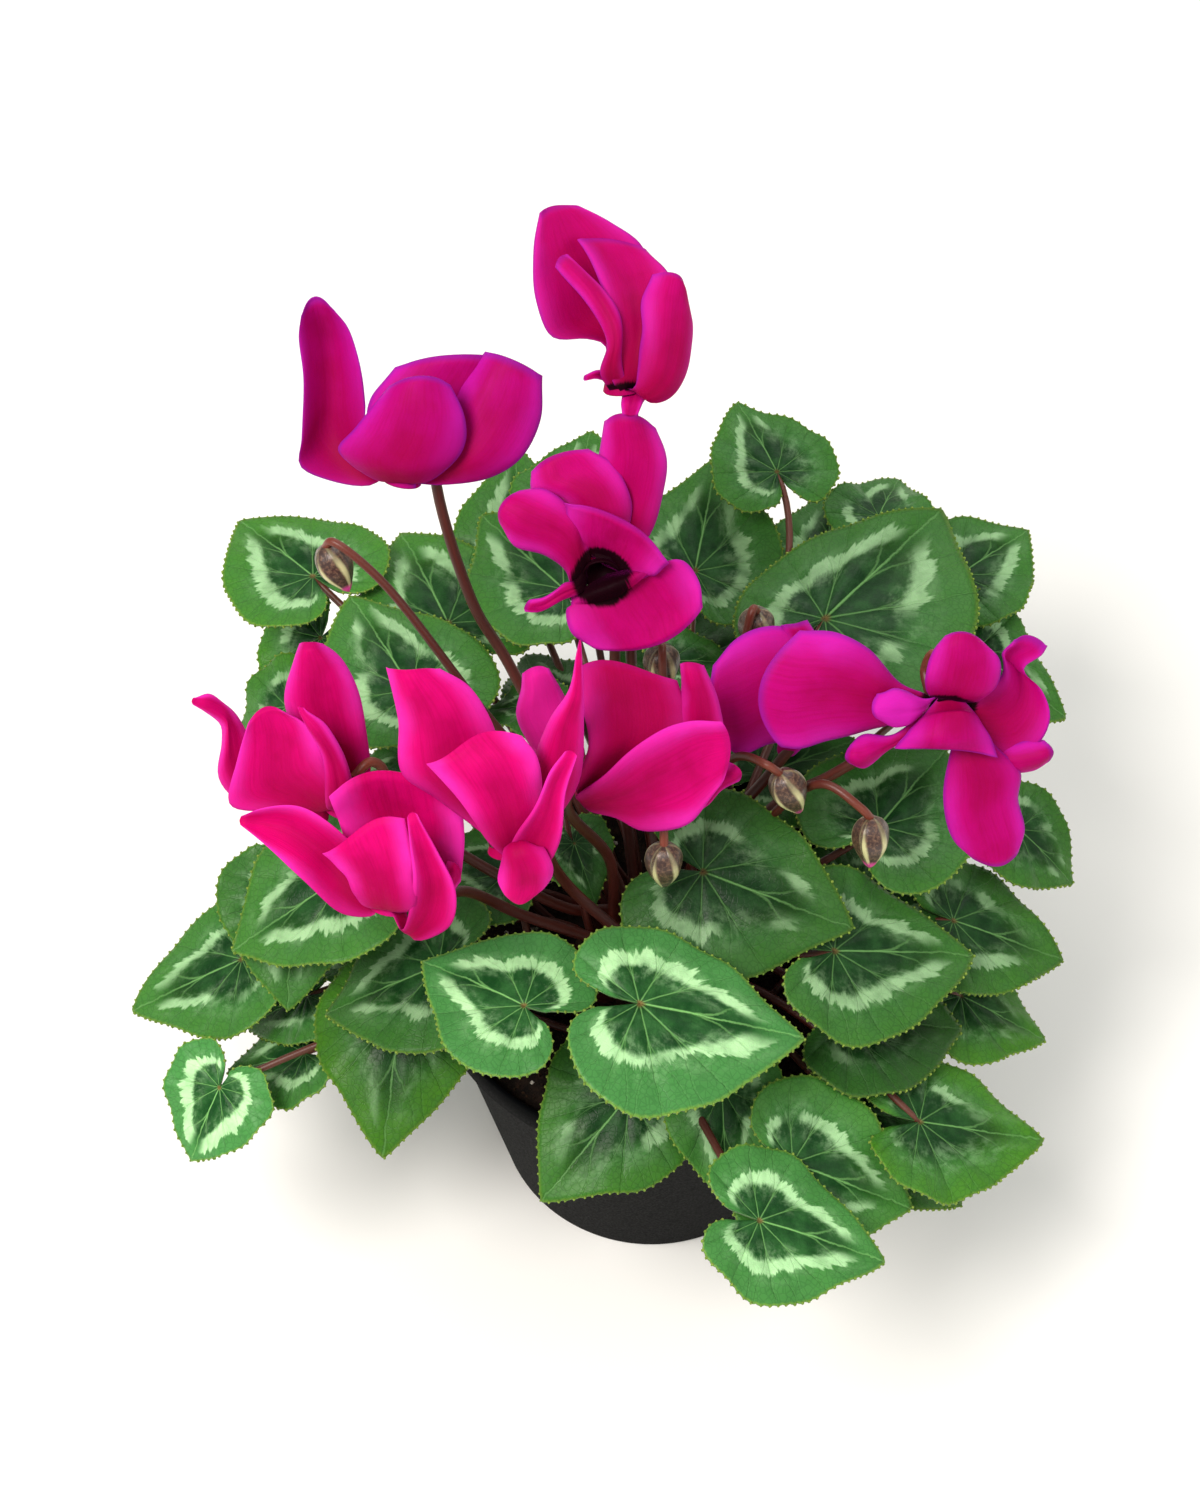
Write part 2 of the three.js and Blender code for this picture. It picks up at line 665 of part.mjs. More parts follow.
// Each bloom: place of its mouth, the way the mouth faces, the side its stalk passes on, the
// points its stalk climbs through, and its petals, each with its tip's place from the mouth.
const BLOOMS = [
  {
    name: 'back_left', mouth: [-62, 55, 216], axis: [-0.2, -0.5, -0.85], side: [0.8, 0.6, 0],
    via: [[-37, 41, 160], [-46, 46, 180]],
    petals: [
      petal([-21, 27, 29], 19, { faces: [0.75, -0.45, 0.5], cup: 4 }),
      petal([5, 3, 32], 28),
      petal([33, 20, 14], 27),
      petal([11, 30, 14], 24),
      petal([-23, -1, 14], 20),
    ],
  },
  {
    name: 'top', mouth: [-9, 60, 243], axis: [0.1, -0.5, -0.86], side: [0.5, 0.85, 0],
    via: [[-6, 40, 150], [-7, 66, 205], [-6, 72, 228]],
    petals: [
      petal([-13, 33, 25], 23),
      petal([6, 22, 23], 24, { cup: 5 }),
      petal([10, 13, 24], 20, { faces: [0.8, -0.4, 0.5] }),
      petal([-14, 13, 26], 16, { faces: [0.6, -0.5, 0.6] }),
      petal([-2, 39, 5], 22),
    ],
  },
  {
    name: 'back_centre', mouth: [-14, 39, 200], axis: [0, -0.9, 0.1], side: [0.2, 0.3, -1],
    via: [[-10, 34, 140], [-11, 44, 175]],
    petals: [
      petal([8, 27, 30], 18),
      petal([-23, 18, -5], 24),
      petal([3, 10, 24], 26),
      petal([24, 2, -12], 27),
      petal([3, -15, -14], 27),
    ],
  },
  {
    name: 'half_open', mouth: [44, 20, 172], axis: [0.8, -0.2, -0.5], side: [0.3, 0.9, -0.4],
    via: [[15, 15, 120], [30, 21, 145]],
    petals: [
      petal([-32, 1, 6], 28),
      petal([-10, 21, 8], 22),
      petal([-16, 18, -14], 20),
      petal([-12, 6, -24], 18),
    ],
  },
  {
    name: 'right', mouth: [69, 11, 186], axis: [0.1, -0.8, -0.3], side: [-0.4, 0.6, -0.7],
    via: [[29, 13, 138], [44, 9, 160]],
    petals: [
      petal([-45, 1, 3], 28),
      petal([2, 8, 18], 19),
      petal([21, 6, 11], 24),
      petal([-24, -18, 0], 16),
      petal([8, -34, -19], 21),
      petal([24, -12, -9], 12),
    ],
  },
  {
    name: 'centre', mouth: [-16, -7, 172], axis: [-0.3, -0.4, -0.85], side: [-0.6, -0.5, 0],
    via: [[-12, -4, 140]],
    petals: [
      petal([31, 1, 20], 27),
      petal([11, 24, 22], 26),
      petal([28, 24, 22], 20),
      petal([-15, 29, 11], 20),
      petal([36, 6, 0], 10),
    ],
  },
  {
    name: 'front_centre', mouth: [-36, -26, 178], axis: [0, -0.5, -0.86], side: [0.8, 0.5, 0],
    via: [[-22, -12, 140]],
    petals: [
      petal([-25, 38, 20], 27),
      petal([-11, 12, 30], 26),
      petal([17, 40, 28], 20),
      petal([12, 3, 32], 18),
      petal([3, -17, 5], 15),
    ],
  },
  {
    name: 'far_left', mouth: [-77, -4, 162], axis: [-0.3, -0.5, -0.8], side: [0.8, 0.6, 0],
    via: [[-22, -1, 112], [-42, 1, 127], [-58, 3, 142]],
    petals: [
      petal([-8, 35, 20], 22),
      petal([-22, 9, 18], 26),
      petal([-33, 22, 16], 14),
      petal([-8, 10, 29], 18),
      petal([-17, -6, 15], 20),
    ],
  },
  {
    name: 'front_left', mouth: [-65, -30, 160], axis: [-0.2, -0.5, -0.85], side: [0.9, 0.4, 0],
    via: [[-34, -9, 122], [-48, -15, 143]],
    petals: [
      petal([-34, 12, 18], 22),
      petal([-3, 20, 24], 28),
      petal([2, 6, 31], 19),
      petal([7, 2, 38], 20),
      petal([16, 21, 15], 20),
    ],
  },
];

const BUDS = [
  { name: 'far', head: [-81, 55, 186], via: [[-44, 30, 157], [-69, 49, 186]] },
  { name: 'centre', head: [1, -15, 158], via: [[-2, 9, 138], [0, -4, 165]] },
  { name: 'right', head: [31, 3, 163], via: [[9, 12, 136], [19, 12, 162]] },
  { name: 'right_low', head: [52, -5, 154], via: [[23, 6, 132], [40, 4, 162]] },
  { name: 'back', head: [1, 39, 166], via: [[2, 26, 140]] },
  { name: 'back_low', head: [25, 49, 168], via: [[18, 36, 140]] },
];

function makeBud(bud, seat) {
  const head = vec(bud.head);
  const out = new THREE.Vector3(head.x, head.y, 0).normalize();
  const top = head.clone().addScaledVector(UP, BUD_RADIUS);
  const bend = top.clone().addScaledVector(UP, 3).addScaledVector(out, -3);
  const rise = seat.foot.clone().addScaledVector(seat.normal, STALK_RISE);
  const points = [seat.foot, rise, ...bud.via.map(vec), bend, top.clone().addScaledVector(UP, -1)];
  const curve = new THREE.CatmullRomCurve3(points, false, 'centripetal');
  const profile = [
    [0, BUD_RADIUS],
    [0.8 * BUD_RADIUS, 0.6 * BUD_RADIUS],
    [BUD_RADIUS, -0.1 * BUD_RADIUS],
    [0.75 * BUD_RADIUS, -0.8 * BUD_RADIUS],
    [0.3 * BUD_RADIUS, -1.6 * BUD_RADIUS],
    [0, -2.1 * BUD_RADIUS],
  ];
  const budHead = solidFromGeometry(standAlong(lathe([...profile].reverse(), FLOWER_SIDES), head, UP));
  return fuse([tube(curve, BUD_STALK_RADIUS, STALK_SIDES, BUD_STEPS), budHead]);
}

function bloomMeshes() {
  BLOOMS.forEach((bloom) => {
    bloom.frame = bloomFrame(bloom);
    bloom.reach = bloom.mouth;
  });
  BUDS.forEach((bud) => {
    bud.reach = bud.head;
  });
  const inner = BLOOMS.slice(0, 5);
  const outer = [...BLOOMS.slice(5), ...BUDS];
  dealSeats(inner, STALK_RING);
  dealSeats(outer, BUD_RING);
  const meshes = [];
  BLOOMS.forEach((bloom) => {
    const curve = stalkCurve(bloom, bloom.seat);
    const stalk = fuse([tube(curve, STALK_RADIUS, STALK_SIDES, STALK_STEPS), makeCalyx(bloom)]);
    meshes.push(namedMesh(`stalk_${bloom.name}`, stalk, FINISHES.stalk));
    meshes.push(namedMesh(`corolla_${bloom.name}`, makeCorolla(bloom, curve), FINISHES.petal));
  });
  BUDS.forEach((bud) => {
    meshes.push(namedMesh(`bud_${bud.name}`, makeBud(bud, bud.seat), FINISHES.stalk));
  });
  return meshes;
}

// ---------------------------------------------------------------- the whole plant

const cyclamen = new THREE.Group();
cyclamen.add(namedMesh('pot', makePot(), FINISHES.potPlastic));
cyclamen.add(namedMesh('soil', makeSoil(), FINISHES.soil));
cyclamen.add(namedMesh('tuber', tuberSolid(0), FINISHES.tuber));
cyclamen.add(...leafMeshes());
cyclamen.add(...bloomMeshes());

export default cyclamen;
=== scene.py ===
"""Looks of a potted cyclamen: marbled leaves, velvety blooms, nodding buds, tuber, soil and pot.

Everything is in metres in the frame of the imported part: +Z up, origin under the middle of the pot,
and the plant's front towards -Y. Sizes in the tables are millimetres.
"""

from __future__ import annotations

import logging
import math
from collections.abc import Sequence
from dataclasses import dataclass
from enum import Enum

import bmesh
import bpy
import numpy as np
from mathutils import Matrix, Quaternion, Vector

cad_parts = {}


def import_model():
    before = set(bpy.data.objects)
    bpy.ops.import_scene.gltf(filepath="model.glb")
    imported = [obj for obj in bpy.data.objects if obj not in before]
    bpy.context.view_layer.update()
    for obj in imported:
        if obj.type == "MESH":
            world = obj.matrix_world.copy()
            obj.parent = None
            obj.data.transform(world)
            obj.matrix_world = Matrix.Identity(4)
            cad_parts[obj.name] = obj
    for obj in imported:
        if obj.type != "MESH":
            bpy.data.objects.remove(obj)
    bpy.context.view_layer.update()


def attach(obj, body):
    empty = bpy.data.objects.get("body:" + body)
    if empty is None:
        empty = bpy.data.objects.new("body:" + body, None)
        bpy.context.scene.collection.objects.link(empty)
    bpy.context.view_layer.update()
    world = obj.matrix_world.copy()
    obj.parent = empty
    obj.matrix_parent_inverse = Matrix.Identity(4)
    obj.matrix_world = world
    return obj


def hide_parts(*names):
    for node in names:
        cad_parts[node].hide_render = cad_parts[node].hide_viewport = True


LOG = logging.getLogger("cyclamen")
MM = 0.001
DOUBLES = 1e-7
Array, Material, NodeTree, Piece = np.ndarray, bpy.types.Material, bpy.types.NodeTree, bpy.types.Object
Pair = tuple[float, float]
Triple = tuple[float, float, float]
Marks = dict[str, Array | float]


# ------------------------------------------------------------------ small helpers


def metres(triple: Sequence[float]) -> Vector:
    """Turn a place in millimetres into a vector in metres."""
    return Vector(triple) * MM


def linear(code: str) -> tuple[float, float, float, float]:
    """Turn an sRGB hex colour into linear light.

    Args:
        code: Colour as "#RRGGBB".

    Returns:
        Red, green, blue and alpha.
    """
    channels = [int(code[k : k + 2], 16) / 255 for k in (1, 3, 5)]
    light = [c / 12.92 if c <= 0.04045 else ((c + 0.055) / 1.055) ** 2.4 for c in channels]
    return (light[0], light[1], light[2], 1.0)


def smooth(value: Array | float, low: float, high: float) -> Array | float:
    """Ease from 0 at low to 1 at high."""
    share = np.clip((value - low) / (high - low), 0.0, 1.0)
    return share * share * (3 - 2 * share)


def rounded_table(table: Sequence[Pair], at: Array) -> Array:
    """Read a table of pairs along a smooth curve through them.

    Args:
        table: Pairs of place and value, in order of place.
        at: Places to read.

    Returns:
        The values there.
    """
    xs = np.array([pair[0] for pair in table], float)
    ys = np.array([pair[1] for pair in table], float)
    slopes = np.gradient(ys, xs)
    k = np.clip(np.searchsorted(xs, at, side="right") - 1, 0, len(xs) - 2)
    width = xs[k + 1] - xs[k]
    t = np.clip((at - xs[k]) / width, 0.0, 1.0)
    start = ys[k] * (2 * t**3 - 3 * t**2 + 1) + slopes[k] * width * (t**3 - 2 * t**2 + t)
    return start + ys[k + 1] * (3 * t**2 - 2 * t**3) + slopes[k + 1] * width * (t**3 - t**2)


def bezier(ends: Sequence[Vector], at: float) -> Vector:
    """Find a point of a cubic Bezier curve.

    Args:
        ends: Its four control points.
        at: Share of the way along.

    Returns:
        The point.
    """
    rest = 1 - at
    start, leave, arrive, end = ends
    return start * rest**3 + leave * (3 * rest * rest * at) + arrive * (3 * rest * at * at) + end * at**3


def chain(points: Sequence[Vector], steps: int) -> list[Vector]:
    """Run a centripetal Catmull-Rom curve through points.

    Args:
        points: The points it passes through.
        steps: Steps between each two of them.

    Returns:
        Points along the curve.
    """
    padded = [points[0] * 2 - points[1], *points, points[-1] * 2 - points[-2]]
    path = []
    for k in range(len(points) - 1):
        p0, p1, p2, p3 = padded[k : k + 4]
        d0, d1, d2 = (math.sqrt(max((b - a).length, 1e-9)) for a, b in ((p0, p1), (p1, p2), (p2, p3)))
        m1 = ((p1 - p0) / d0 - (p2 - p0) / (d0 + d1) + (p2 - p1) / d1) * d1
        m2 = ((p2 - p1) / d1 - (p3 - p1) / (d1 + d2) + (p3 - p2) / d2) * d1
        for step in range(steps):
            t = step / steps
            path.append(
                p1 * (2 * t**3 - 3 * t**2 + 1)
                + m1 * (t**3 - 2 * t**2 + t)
                + p2 * (3 * t**2 - 2 * t**3)
                + m2 * (t**3 - t**2)
            )
    return [*path, points[-1]]


class Sketch:
    """Gathers the faces, UVs and painted values of one piece, then makes its object."""

    def __init__(self) -> None:
        """Start with nothing."""
        self._points: list[Array] = []
        self._uvs: list[Array] = []
        self._faces: list[tuple[int, ...]] = []
        self._marks: dict[str, list[Array]] = {}
        self._count = 0

    def _add_points(self, points: Array, uv: Array, marks: Marks) -> int:
        """Append points and what is painted on them.

        Args:
            points: Rows of x, y, z.
            uv: Rows of u, v.
            marks: Values by name, one for each point or one for all.

        Returns:
            Number of the first new point.
        """
        first, count = self._count, len(points)
        self._points.append(points)
        self._uvs.append(uv)
        for name in dict.fromkeys([*self._marks, *marks]):
            known = self._marks.setdefault(name, [np.zeros(first)] if first else [])
            known.append(np.broadcast_to(np.asarray(marks.get(name, 0.0), float).ravel(), (count,)))
        self._count += count
        return first

    def grid(self, points: Array, uv: Array, marks: Marks, wrap: bool = False) -> Array:
        """Add a sheet of quads.

        Args:
            points: Rows by columns by 3.
            uv: Rows by columns by 2.
            marks: Values by name.
            wrap: Whether the last column joins the first.

        Returns:
            Numbers of the points, rows by columns.
        """
        rows, columns = points.shape[:2]
        first = self._add_points(points.reshape(-1, 3), uv.reshape(-1, 2), marks)
        index = first + np.arange(rows * columns).reshape(rows, columns)
        ring = np.concatenate([index, index[:, :1]], axis=1) if wrap else index
        quads = np.stack([ring[:-1, :-1], ring[:-1, 1:], ring[1:, 1:], ring[1:, :-1]], axis=-1)
        self._faces.extend(map(tuple, quads.reshape(-1, 4).tolist()))
        return index

    def slab(self, upper: Array, lower: Array, uv: Array, marks: Marks) -> None:
        """Add a thin closed sheet from its two faces.

        Args:
            upper: Upper face, rows by columns by 3.
            lower: Lower face, alike.
            uv: Rows by columns by 2, the same on both faces.
            marks: Values by name; "under" is added, 1 on the lower face.
        """
        flipped = {name: _flip(value) for name, value in marks.items()}
        top = self.grid(upper, uv, {**marks, "under": 0.0})
        low = self.grid(lower[:, ::-1], uv[:, ::-1], {**flipped, "under": 1.0})[:, ::-1]
        rims = [(top[0], low[0]), (top[-1], low[-1]), (top[:, 0], low[:, 0]), (top[:, -1], low[:, -1])]
        for high, under in rims:
            for k in range(len(high) - 1):
                self._faces.append((int(high[k]), int(high[k + 1]), int(under[k + 1]), int(under[k])))

    def rod(
        self, path: Sequence[Vector], radii: Sequence[float], sides: int, marks: Marks, wave: float = 0.0
    ) -> None:
        """Add a rod with closed ends along a path.

        Args:
            path: Points along its middle.
            radii: Its radius at each point.
            sides: Points round it.
            marks: Values by name.
            wave: Depth of five ribs along it, as a share of the radius.
        """
        turn = np.linspace(0, 2 * math.pi, sides, endpoint=False)
        tangent = (path[1] - path[0]).normalized()
        across = tangent.orthogonal().normalized()
        rings, uv, share = [], [], np.linspace(0, 1, len(path))
        for k, point in enumerate(path):
            ahead = (path[min(k + 1, len(path) - 1)] - path[max(k - 1, 0)]).normalized()
            across = tangent.rotation_difference(ahead) @ across
            tangent = ahead
            other = tangent.cross(across)
            swell = radii[k] * (1 + wave * np.cos(5 * turn + 2.4 * share[k]))
            ring = np.outer(np.cos(turn) * swell, across) + np.outer(np.sin(turn) * swell, other)
            rings.append(np.array(point) + ring)
            uv.append(np.stack([turn / (2 * math.pi), np.full(sides, share[k])], axis=-1))
        painted = {**marks, "along": np.repeat(share, sides)}
        index = self.grid(np.array(rings), np.array(uv), painted, wrap=True)
        self._faces.append(tuple(index[0].tolist()))
        self._faces.append(tuple(index[-1, ::-1].tolist()))

    def lathe(
        self, profile: Sequence[Pair], sides: int, place: Matrix, marks: Marks, lobes: float = 0.0
    ) -> None:
        """Add a turned piece, closed where its profile meets the axis.

        Args:
            profile: Radius and height in millimetres.
            sides: Points round it.
            place: Where it stands, in metres.
            marks: Values by name, one for all or one for each point of the profile.
            lobes: How far five lobes lift its points, in millimetres, on the middle of the profile.
        """
        turn = np.linspace(0, 2 * math.pi, sides, endpoint=False)
        share = np.linspace(0, 1, len(profile))
        rings = []
        for (radius, height), along in zip(profile, share):
            lift = lobes * np.abs(np.cos(2.5 * turn)) * math.sin(math.pi * along) ** 4
            ring = np.stack([radius * np.cos(turn), radius * np.sin(turn), height + lift], axis=-1) * MM
            rings.append(ring @ np.array(place.to_3x3()).T + np.array(place.translation))
        u = np.broadcast_to(turn / (2 * math.pi), (len(profile), sides))
        v = np.broadcast_to(share[:, None], (len(profile), sides))
        painted = {
            name: np.repeat(value, sides) if isinstance(value, Array) else value
            for name, value in marks.items()
        }
        self.grid(np.array(rings), np.stack([u, v], axis=-1), {**painted, "along": v.ravel()}, wrap=True)

    def build(self, name: str, finishes: Sequence[Material]) -> Piece:
        """Make the object.

        Args:
            name: Name of the object.
            finishes: Its materials; faces take the first.

        Returns:
            The object, linked to the scene.
        """
        mesh = bpy.data.meshes.new(name)
        mesh.from_pydata(np.concatenate(self._points).tolist(), [], self._faces)
        uv = np.concatenate(self._uvs)
        corners = np.empty(len(mesh.loops), np.int32)
        mesh.loops.foreach_get("vertex_index", corners)
        mesh.uv_layers.new(name="pattern").data.foreach_set("uv", uv[corners].astype(np.float32).ravel())
        for mark, values in self._marks.items():
            layer = mesh.attributes.new(mark, "FLOAT", "POINT")
            layer.data.foreach_set("value", np.concatenate(values).astype(np.float32))
        tidy = bmesh.new()
        tidy.from_mesh(mesh)
        bmesh.ops.remove_doubles(tidy, verts=tidy.verts, dist=DOUBLES)
        bmesh.ops.recalc_face_normals(tidy, faces=tidy.faces)
        tidy.to_mesh(mesh)
        tidy.free()
        mesh.shade_smooth()
        for finish in finishes:
            mesh.materials.append(finish)
        piece = bpy.data.objects.new(name, mesh)
        bpy.context.scene.collection.objects.link(piece)
        return piece


def _flip(value: Array | float) -> Array | float:
    """Turn round the columns of a painted value, if it has any."""
    return value[:, ::-1] if isinstance(value, Array) and value.ndim == 2 else value


# ------------------------------------------------------------------ finishes

Socket = bpy.types.NodeSocket
Input = Socket | float | int | str | tuple | Material


class Kind(Enum):
    """Shader nodes that the finishes are made of: each one's type, usual output and usual settings."""

    PLUS = ("ShaderNodeMath", 0, {"operation": "ADD"})
    LESS = ("ShaderNodeMath", 0, {"operation": "SUBTRACT"})
    TIMES = ("ShaderNodeMath", 0, {"operation": "MULTIPLY"})
    MOST = ("ShaderNodeMath", 0, {"operation": "MAXIMUM"})
    SIZE = ("ShaderNodeMath", 0, {"operation": "ABSOLUTE"})
    FOLD = ("ShaderNodeMath", 0, {"operation": "PINGPONG"})
    EASE = ("ShaderNodeMapRange", 0, {"interpolation_type": "SMOOTHSTEP"})
    MIX = ("ShaderNodeMix", 2, {"data_type": "RGBA"})
    NOISE = ("ShaderNodeTexNoise", 0, {})
    CELLS = ("ShaderNodeTexVoronoi", 0, {"feature": "DISTANCE_TO_EDGE"})
    BUMP = ("ShaderNodeBump", 0, {})
    MARK = ("ShaderNodeAttribute", "Fac", {})
    PATTERN = ("ShaderNodeUVMap", 0, {"uv_map": "pattern"})
    PLACE = ("ShaderNodeTexCoord", "Object", {})
    JOIN = ("ShaderNodeCombineXYZ", 0, {})
    SPLIT = ("ShaderNodeSeparateXYZ", 0, {})


def add(
    tree: NodeTree,
    kind: Kind | str,
    links: Sequence[Input] | dict[str | int, Input] = (),
    out: int | str | None = None,
    **settings: str | int,
) -> Socket | None:
    """Add a node with its settings and links.

    Args:
        tree: The node tree.
        kind: The node's kind, or its type in a tree of geometry.
        links: What its inputs take, in order or by name: a socket, a value or a hex colour.
        out: The output to hand back, where it isn't the usual one.
        **settings: The node's own settings.

    Returns:
        That output, if the node has one.
    """
    name, usual, own = kind.value if isinstance(kind, Kind) else (kind, 0, {})
    node = tree.nodes.new(name)
    for key, value in {**own, **settings}.items():
        setattr(node, key, value)
    for key, value in links.items() if isinstance(links, dict) else enumerate(links):
        if isinstance(value, Socket):
            tree.links.new(value, node.inputs[key])
        else:
            is_colour = isinstance(value, str) and value.startswith("#")
            node.inputs[key].default_value = linear(value) if is_colour else value
    return node.outputs[usual if out is None else out] if len(node.outputs) else None


# A colour mix takes its share and its two colours on these inputs.
SHARE, BELOW, ABOVE = 0, 6, 7


def grain(size_mm: float) -> float:
    """Turn the size of a grain in millimetres into a texture scale."""
    return 1.0 / (size_mm * MM)


class Bench:
    """A material under construction."""

    def __init__(self, name: str) -> None:
        """Start a material that holds one principled shader.

        Args:
            name: Common name of what it is made of.
        """
        self.material = bpy.data.materials.new(name)
        self.material.use_nodes = True
        self.tree = self.material.node_tree
        self.shader = self.tree.nodes["Principled BSDF"]

    def add(
        self, kind: Kind, links: Sequence[Input] | dict = (), out: int | None = None, **settings: str
    ) -> Socket:
        """Add a node to this material, as the function of that name does."""
        return add(self.tree, kind, links, out, **settings)

    def coats(self, body: Input, coats: Sequence[tuple[Input, Input]]) -> Socket:
        """Lay coats of colour over each other.

        Args:
            body: The colour under them all.
            coats: How much of each coat covers what is below it, and its colour.

        Returns:
            The colour that shows.
        """
        for share, colour in coats:
            body = self.add(Kind.MIX, {SHARE: share, BELOW: body, ABOVE: colour})
        return body

    def finish(self, **values: Input) -> Material:
        """Set the shader's inputs.

        Args:
            **values: Values by input name, with _ for spaces.

        Returns:
            The material.
        """
        for key, value in values.items():
            socket = self.shader.inputs[key.replace("_", " ")]
            if isinstance(value, Socket):
                self.tree.links.new(value, socket)
            else:
                socket.default_value = value
        return self.material


@dataclass(frozen=True)
class LeafFinish:
    """Living cyclamen leaf: a fleshy blade with a satin skin, marbled by air under the skin."""

    # The satin skin gives soft broad highlights; the marbling is paler but no glossier.
    centre: str = "#0A3411"
    margin: str = "#386F36"
    warm: str = "#4A8512"
    silver: str = "#9CC792"
    vein: str = "#6FA65E"
    tooth: str = "#8FAE3C"
    hilum: str = "#6E4A2A"
    under: str = "#57704A"
    cell_mm: float = 1.5
    mottle_mm: float = 6.0
    pore_mm: float = 0.5
    vein_depth_mm: float = 0.35
    skin_depth_mm: float = 0.07

    def make(self) -> Material:
        """Build the material from the blade's own map.

        Its u counts the sectors between the main veins, with the midrib at 5, and its v runs from
        the hilum to the margin.

        Returns:
            The material.
        """
        b = Bench("cyclamen_leaf_satin_skin")
        n = b.add
        spot = n(Kind.PLACE)
        flat = n(Kind.PATTERN)
        u, v = (n(Kind.SPLIT, (flat,), out) for out in range(2))
        names = ("seed", "tone", "band", "silver", "warm", "under")
        seed, tone, band, silver, warm, under = (n(Kind.MARK, attribute_name=name) for name in names)
        shift = n(Kind.TIMES, (seed, 17.3))
        around = n(Kind.PLUS, (u, shift))
        # Clouds a quarter of a sector wide fray the band, and streaks as narrow as the netted veins
        # feather it.
        clouds, streaks = (
            n(Kind.JOIN, (around, n(Kind.TIMES, (v, squeeze)), seed)) for squeeze in (3.0, 0.35)
        )
        cloud = n(Kind.NOISE, {"Vector": clouds, "Scale": 1.9, "Detail": 6.0, "Roughness": 0.7})
        streak = n(Kind.NOISE, {"Vector": streaks, "Scale": 6.5, "Detail": 3.0, "Roughness": 0.65})
        patch = n(Kind.NOISE, {"Vector": n(Kind.JOIN, (around, v, shift)), "Scale": 0.75, "Detail": 2.0})
        cloud_sway, streak_sway = (n(Kind.LESS, (noise, 0.5)) for noise in (cloud, streak))
        from_rib = n(Kind.SIZE, (n(Kind.LESS, (u, 5.0)),))
        to_tip = n(Kind.EASE, (from_rib, 1.25, 0.05, 0.0, 0.2))
        level = n(Kind.PLUS, (n(Kind.LESS, (v, to_tip)), n(Kind.TIMES, (cloud_sway, 0.13))))
        frayed = n(Kind.PLUS, (level, n(Kind.TIMES, (streak_sway, 0.3))))
        jagged = n(Kind.PLUS, (level, n(Kind.TIMES, (streak_sway, 0.12))))
        width = n(Kind.TIMES, (band, n(Kind.EASE, (patch, 0.3, 0.62, 0.35, 1.25))))
        outer_low = n(Kind.PLUS, (width, 0.51))
        outer_high = n(Kind.PLUS, (outer_low, 0.045))
        outer = n(Kind.EASE, (frayed, outer_low, outer_high, 1.0, 0.0))
        ends = n(Kind.TIMES, (n(Kind.EASE, (from_rib, 0.06, 0.3)), n(Kind.EASE, (from_rib, 4.85, 4.35))))
        broken = n(Kind.EASE, (n(Kind.PLUS, (patch, silver)), 0.78, 0.92))
        marbling = n(Kind.EASE, (jagged, 0.44, 0.53))
        for share in (outer, ends, broken):
            marbling = n(Kind.TIMES, (marbling, share))
        # Main veins run along whole numbers of u, and each forks on its way to the margin.
        bent = n(Kind.PLUS, (u, n(Kind.TIMES, (cloud_sway, 0.16))))
        offset = n(Kind.FOLD, (bent, 0.5))
        main = n(Kind.EASE, (n(Kind.TIMES, (offset, v)), 0.005, 0.02, 1.0, 0.0))
        way_out = n(Kind.EASE, (v, 0.25, 0.9, 0.0, 0.42))
        aside = n(Kind.SIZE, (n(Kind.LESS, (offset, way_out)),))
        fork = n(Kind.EASE, (n(Kind.TIMES, (aside, v)), 0.004, 0.018, 0.6, 0.0))
        forks = n(Kind.TIMES, (fork, n(Kind.EASE, (v, 0.22, 0.4))))
        veins = n(Kind.MOST, (main, forks))
        by_rib = n(Kind.EASE, (from_rib, 0.5, 0.1, 0.0, 0.35))
        fade = n(Kind.PLUS, (n(Kind.EASE, (v, 0.3, 0.7, 0.5, 0.06)), by_rib))
        cells = n(Kind.CELLS, {"Vector": spot, "Scale": grain(self.cell_mm)})
        net = n(Kind.EASE, (cells, 0.0, 0.14))
        mottle = n(
            Kind.NOISE, {"Vector": spot, "Scale": grain(self.mottle_mm), "Detail": 5.0, "Roughness": 0.6}
        )
        pore = n(Kind.NOISE, {"Vector": spot, "Scale": grain(self.pore_mm), "Detail": 3.0})
        yellow = n(Kind.TIMES, (n(Kind.EASE, (v, 0.35, 1.0)), warm))
        # Thin air under the skin leaves a fainter bloom between the veins on both sides of the band.
        haze = n(Kind.EASE, (level, 0.2, 0.46))
        before_margin = n(Kind.EASE, (level, 0.86, 0.6))
        for share in (before_margin, n(Kind.EASE, (cloud, 0.44, 0.68, 0.0, 0.24)), ends):
            haze = n(Kind.TIMES, (haze, share))
        paler = n(Kind.TIMES, (marbling, n(Kind.EASE, (mottle, 0.28, 0.66, 0.6, 0.95))))
        coats = (
            (n(Kind.EASE, (level, 0.4, 0.66)), self.margin),
            (yellow, self.warm),
            (n(Kind.EASE, (mottle, 0.35, 0.75, 0.0, 0.45)), self.margin),
            (n(Kind.EASE, (net, 0.0, 1.0, 0.22, 0.0)), self.centre),
            (haze, self.silver),
            (paler, self.silver),
            (n(Kind.TIMES, (veins, fade)), self.vein),
            (n(Kind.EASE, (v, 0.055, 0.015, 0.0, 0.8)), self.hilum),
            (n(Kind.EASE, (v, 0.965, 1.0, 0.0, 0.35)), self.tooth),
        )
        body = b.coats(self.centre, coats)
        # Painted shade and light: each blade's colour is multiplied by its tone, which darkens leaves that
        # sit in shade under others and lightens leaves in front, besides the leaf's own paleness.
        shade = n(Kind.JOIN, (tone, tone, tone))
        body = n(Kind.MIX, {SHARE: 1.0, BELOW: body, ABOVE: shade}, blend_type="MULTIPLY")
        sunk = n(Kind.BUMP, {"Height": veins, "Distance": -self.vein_depth_mm * MM, "Strength": 0.6})
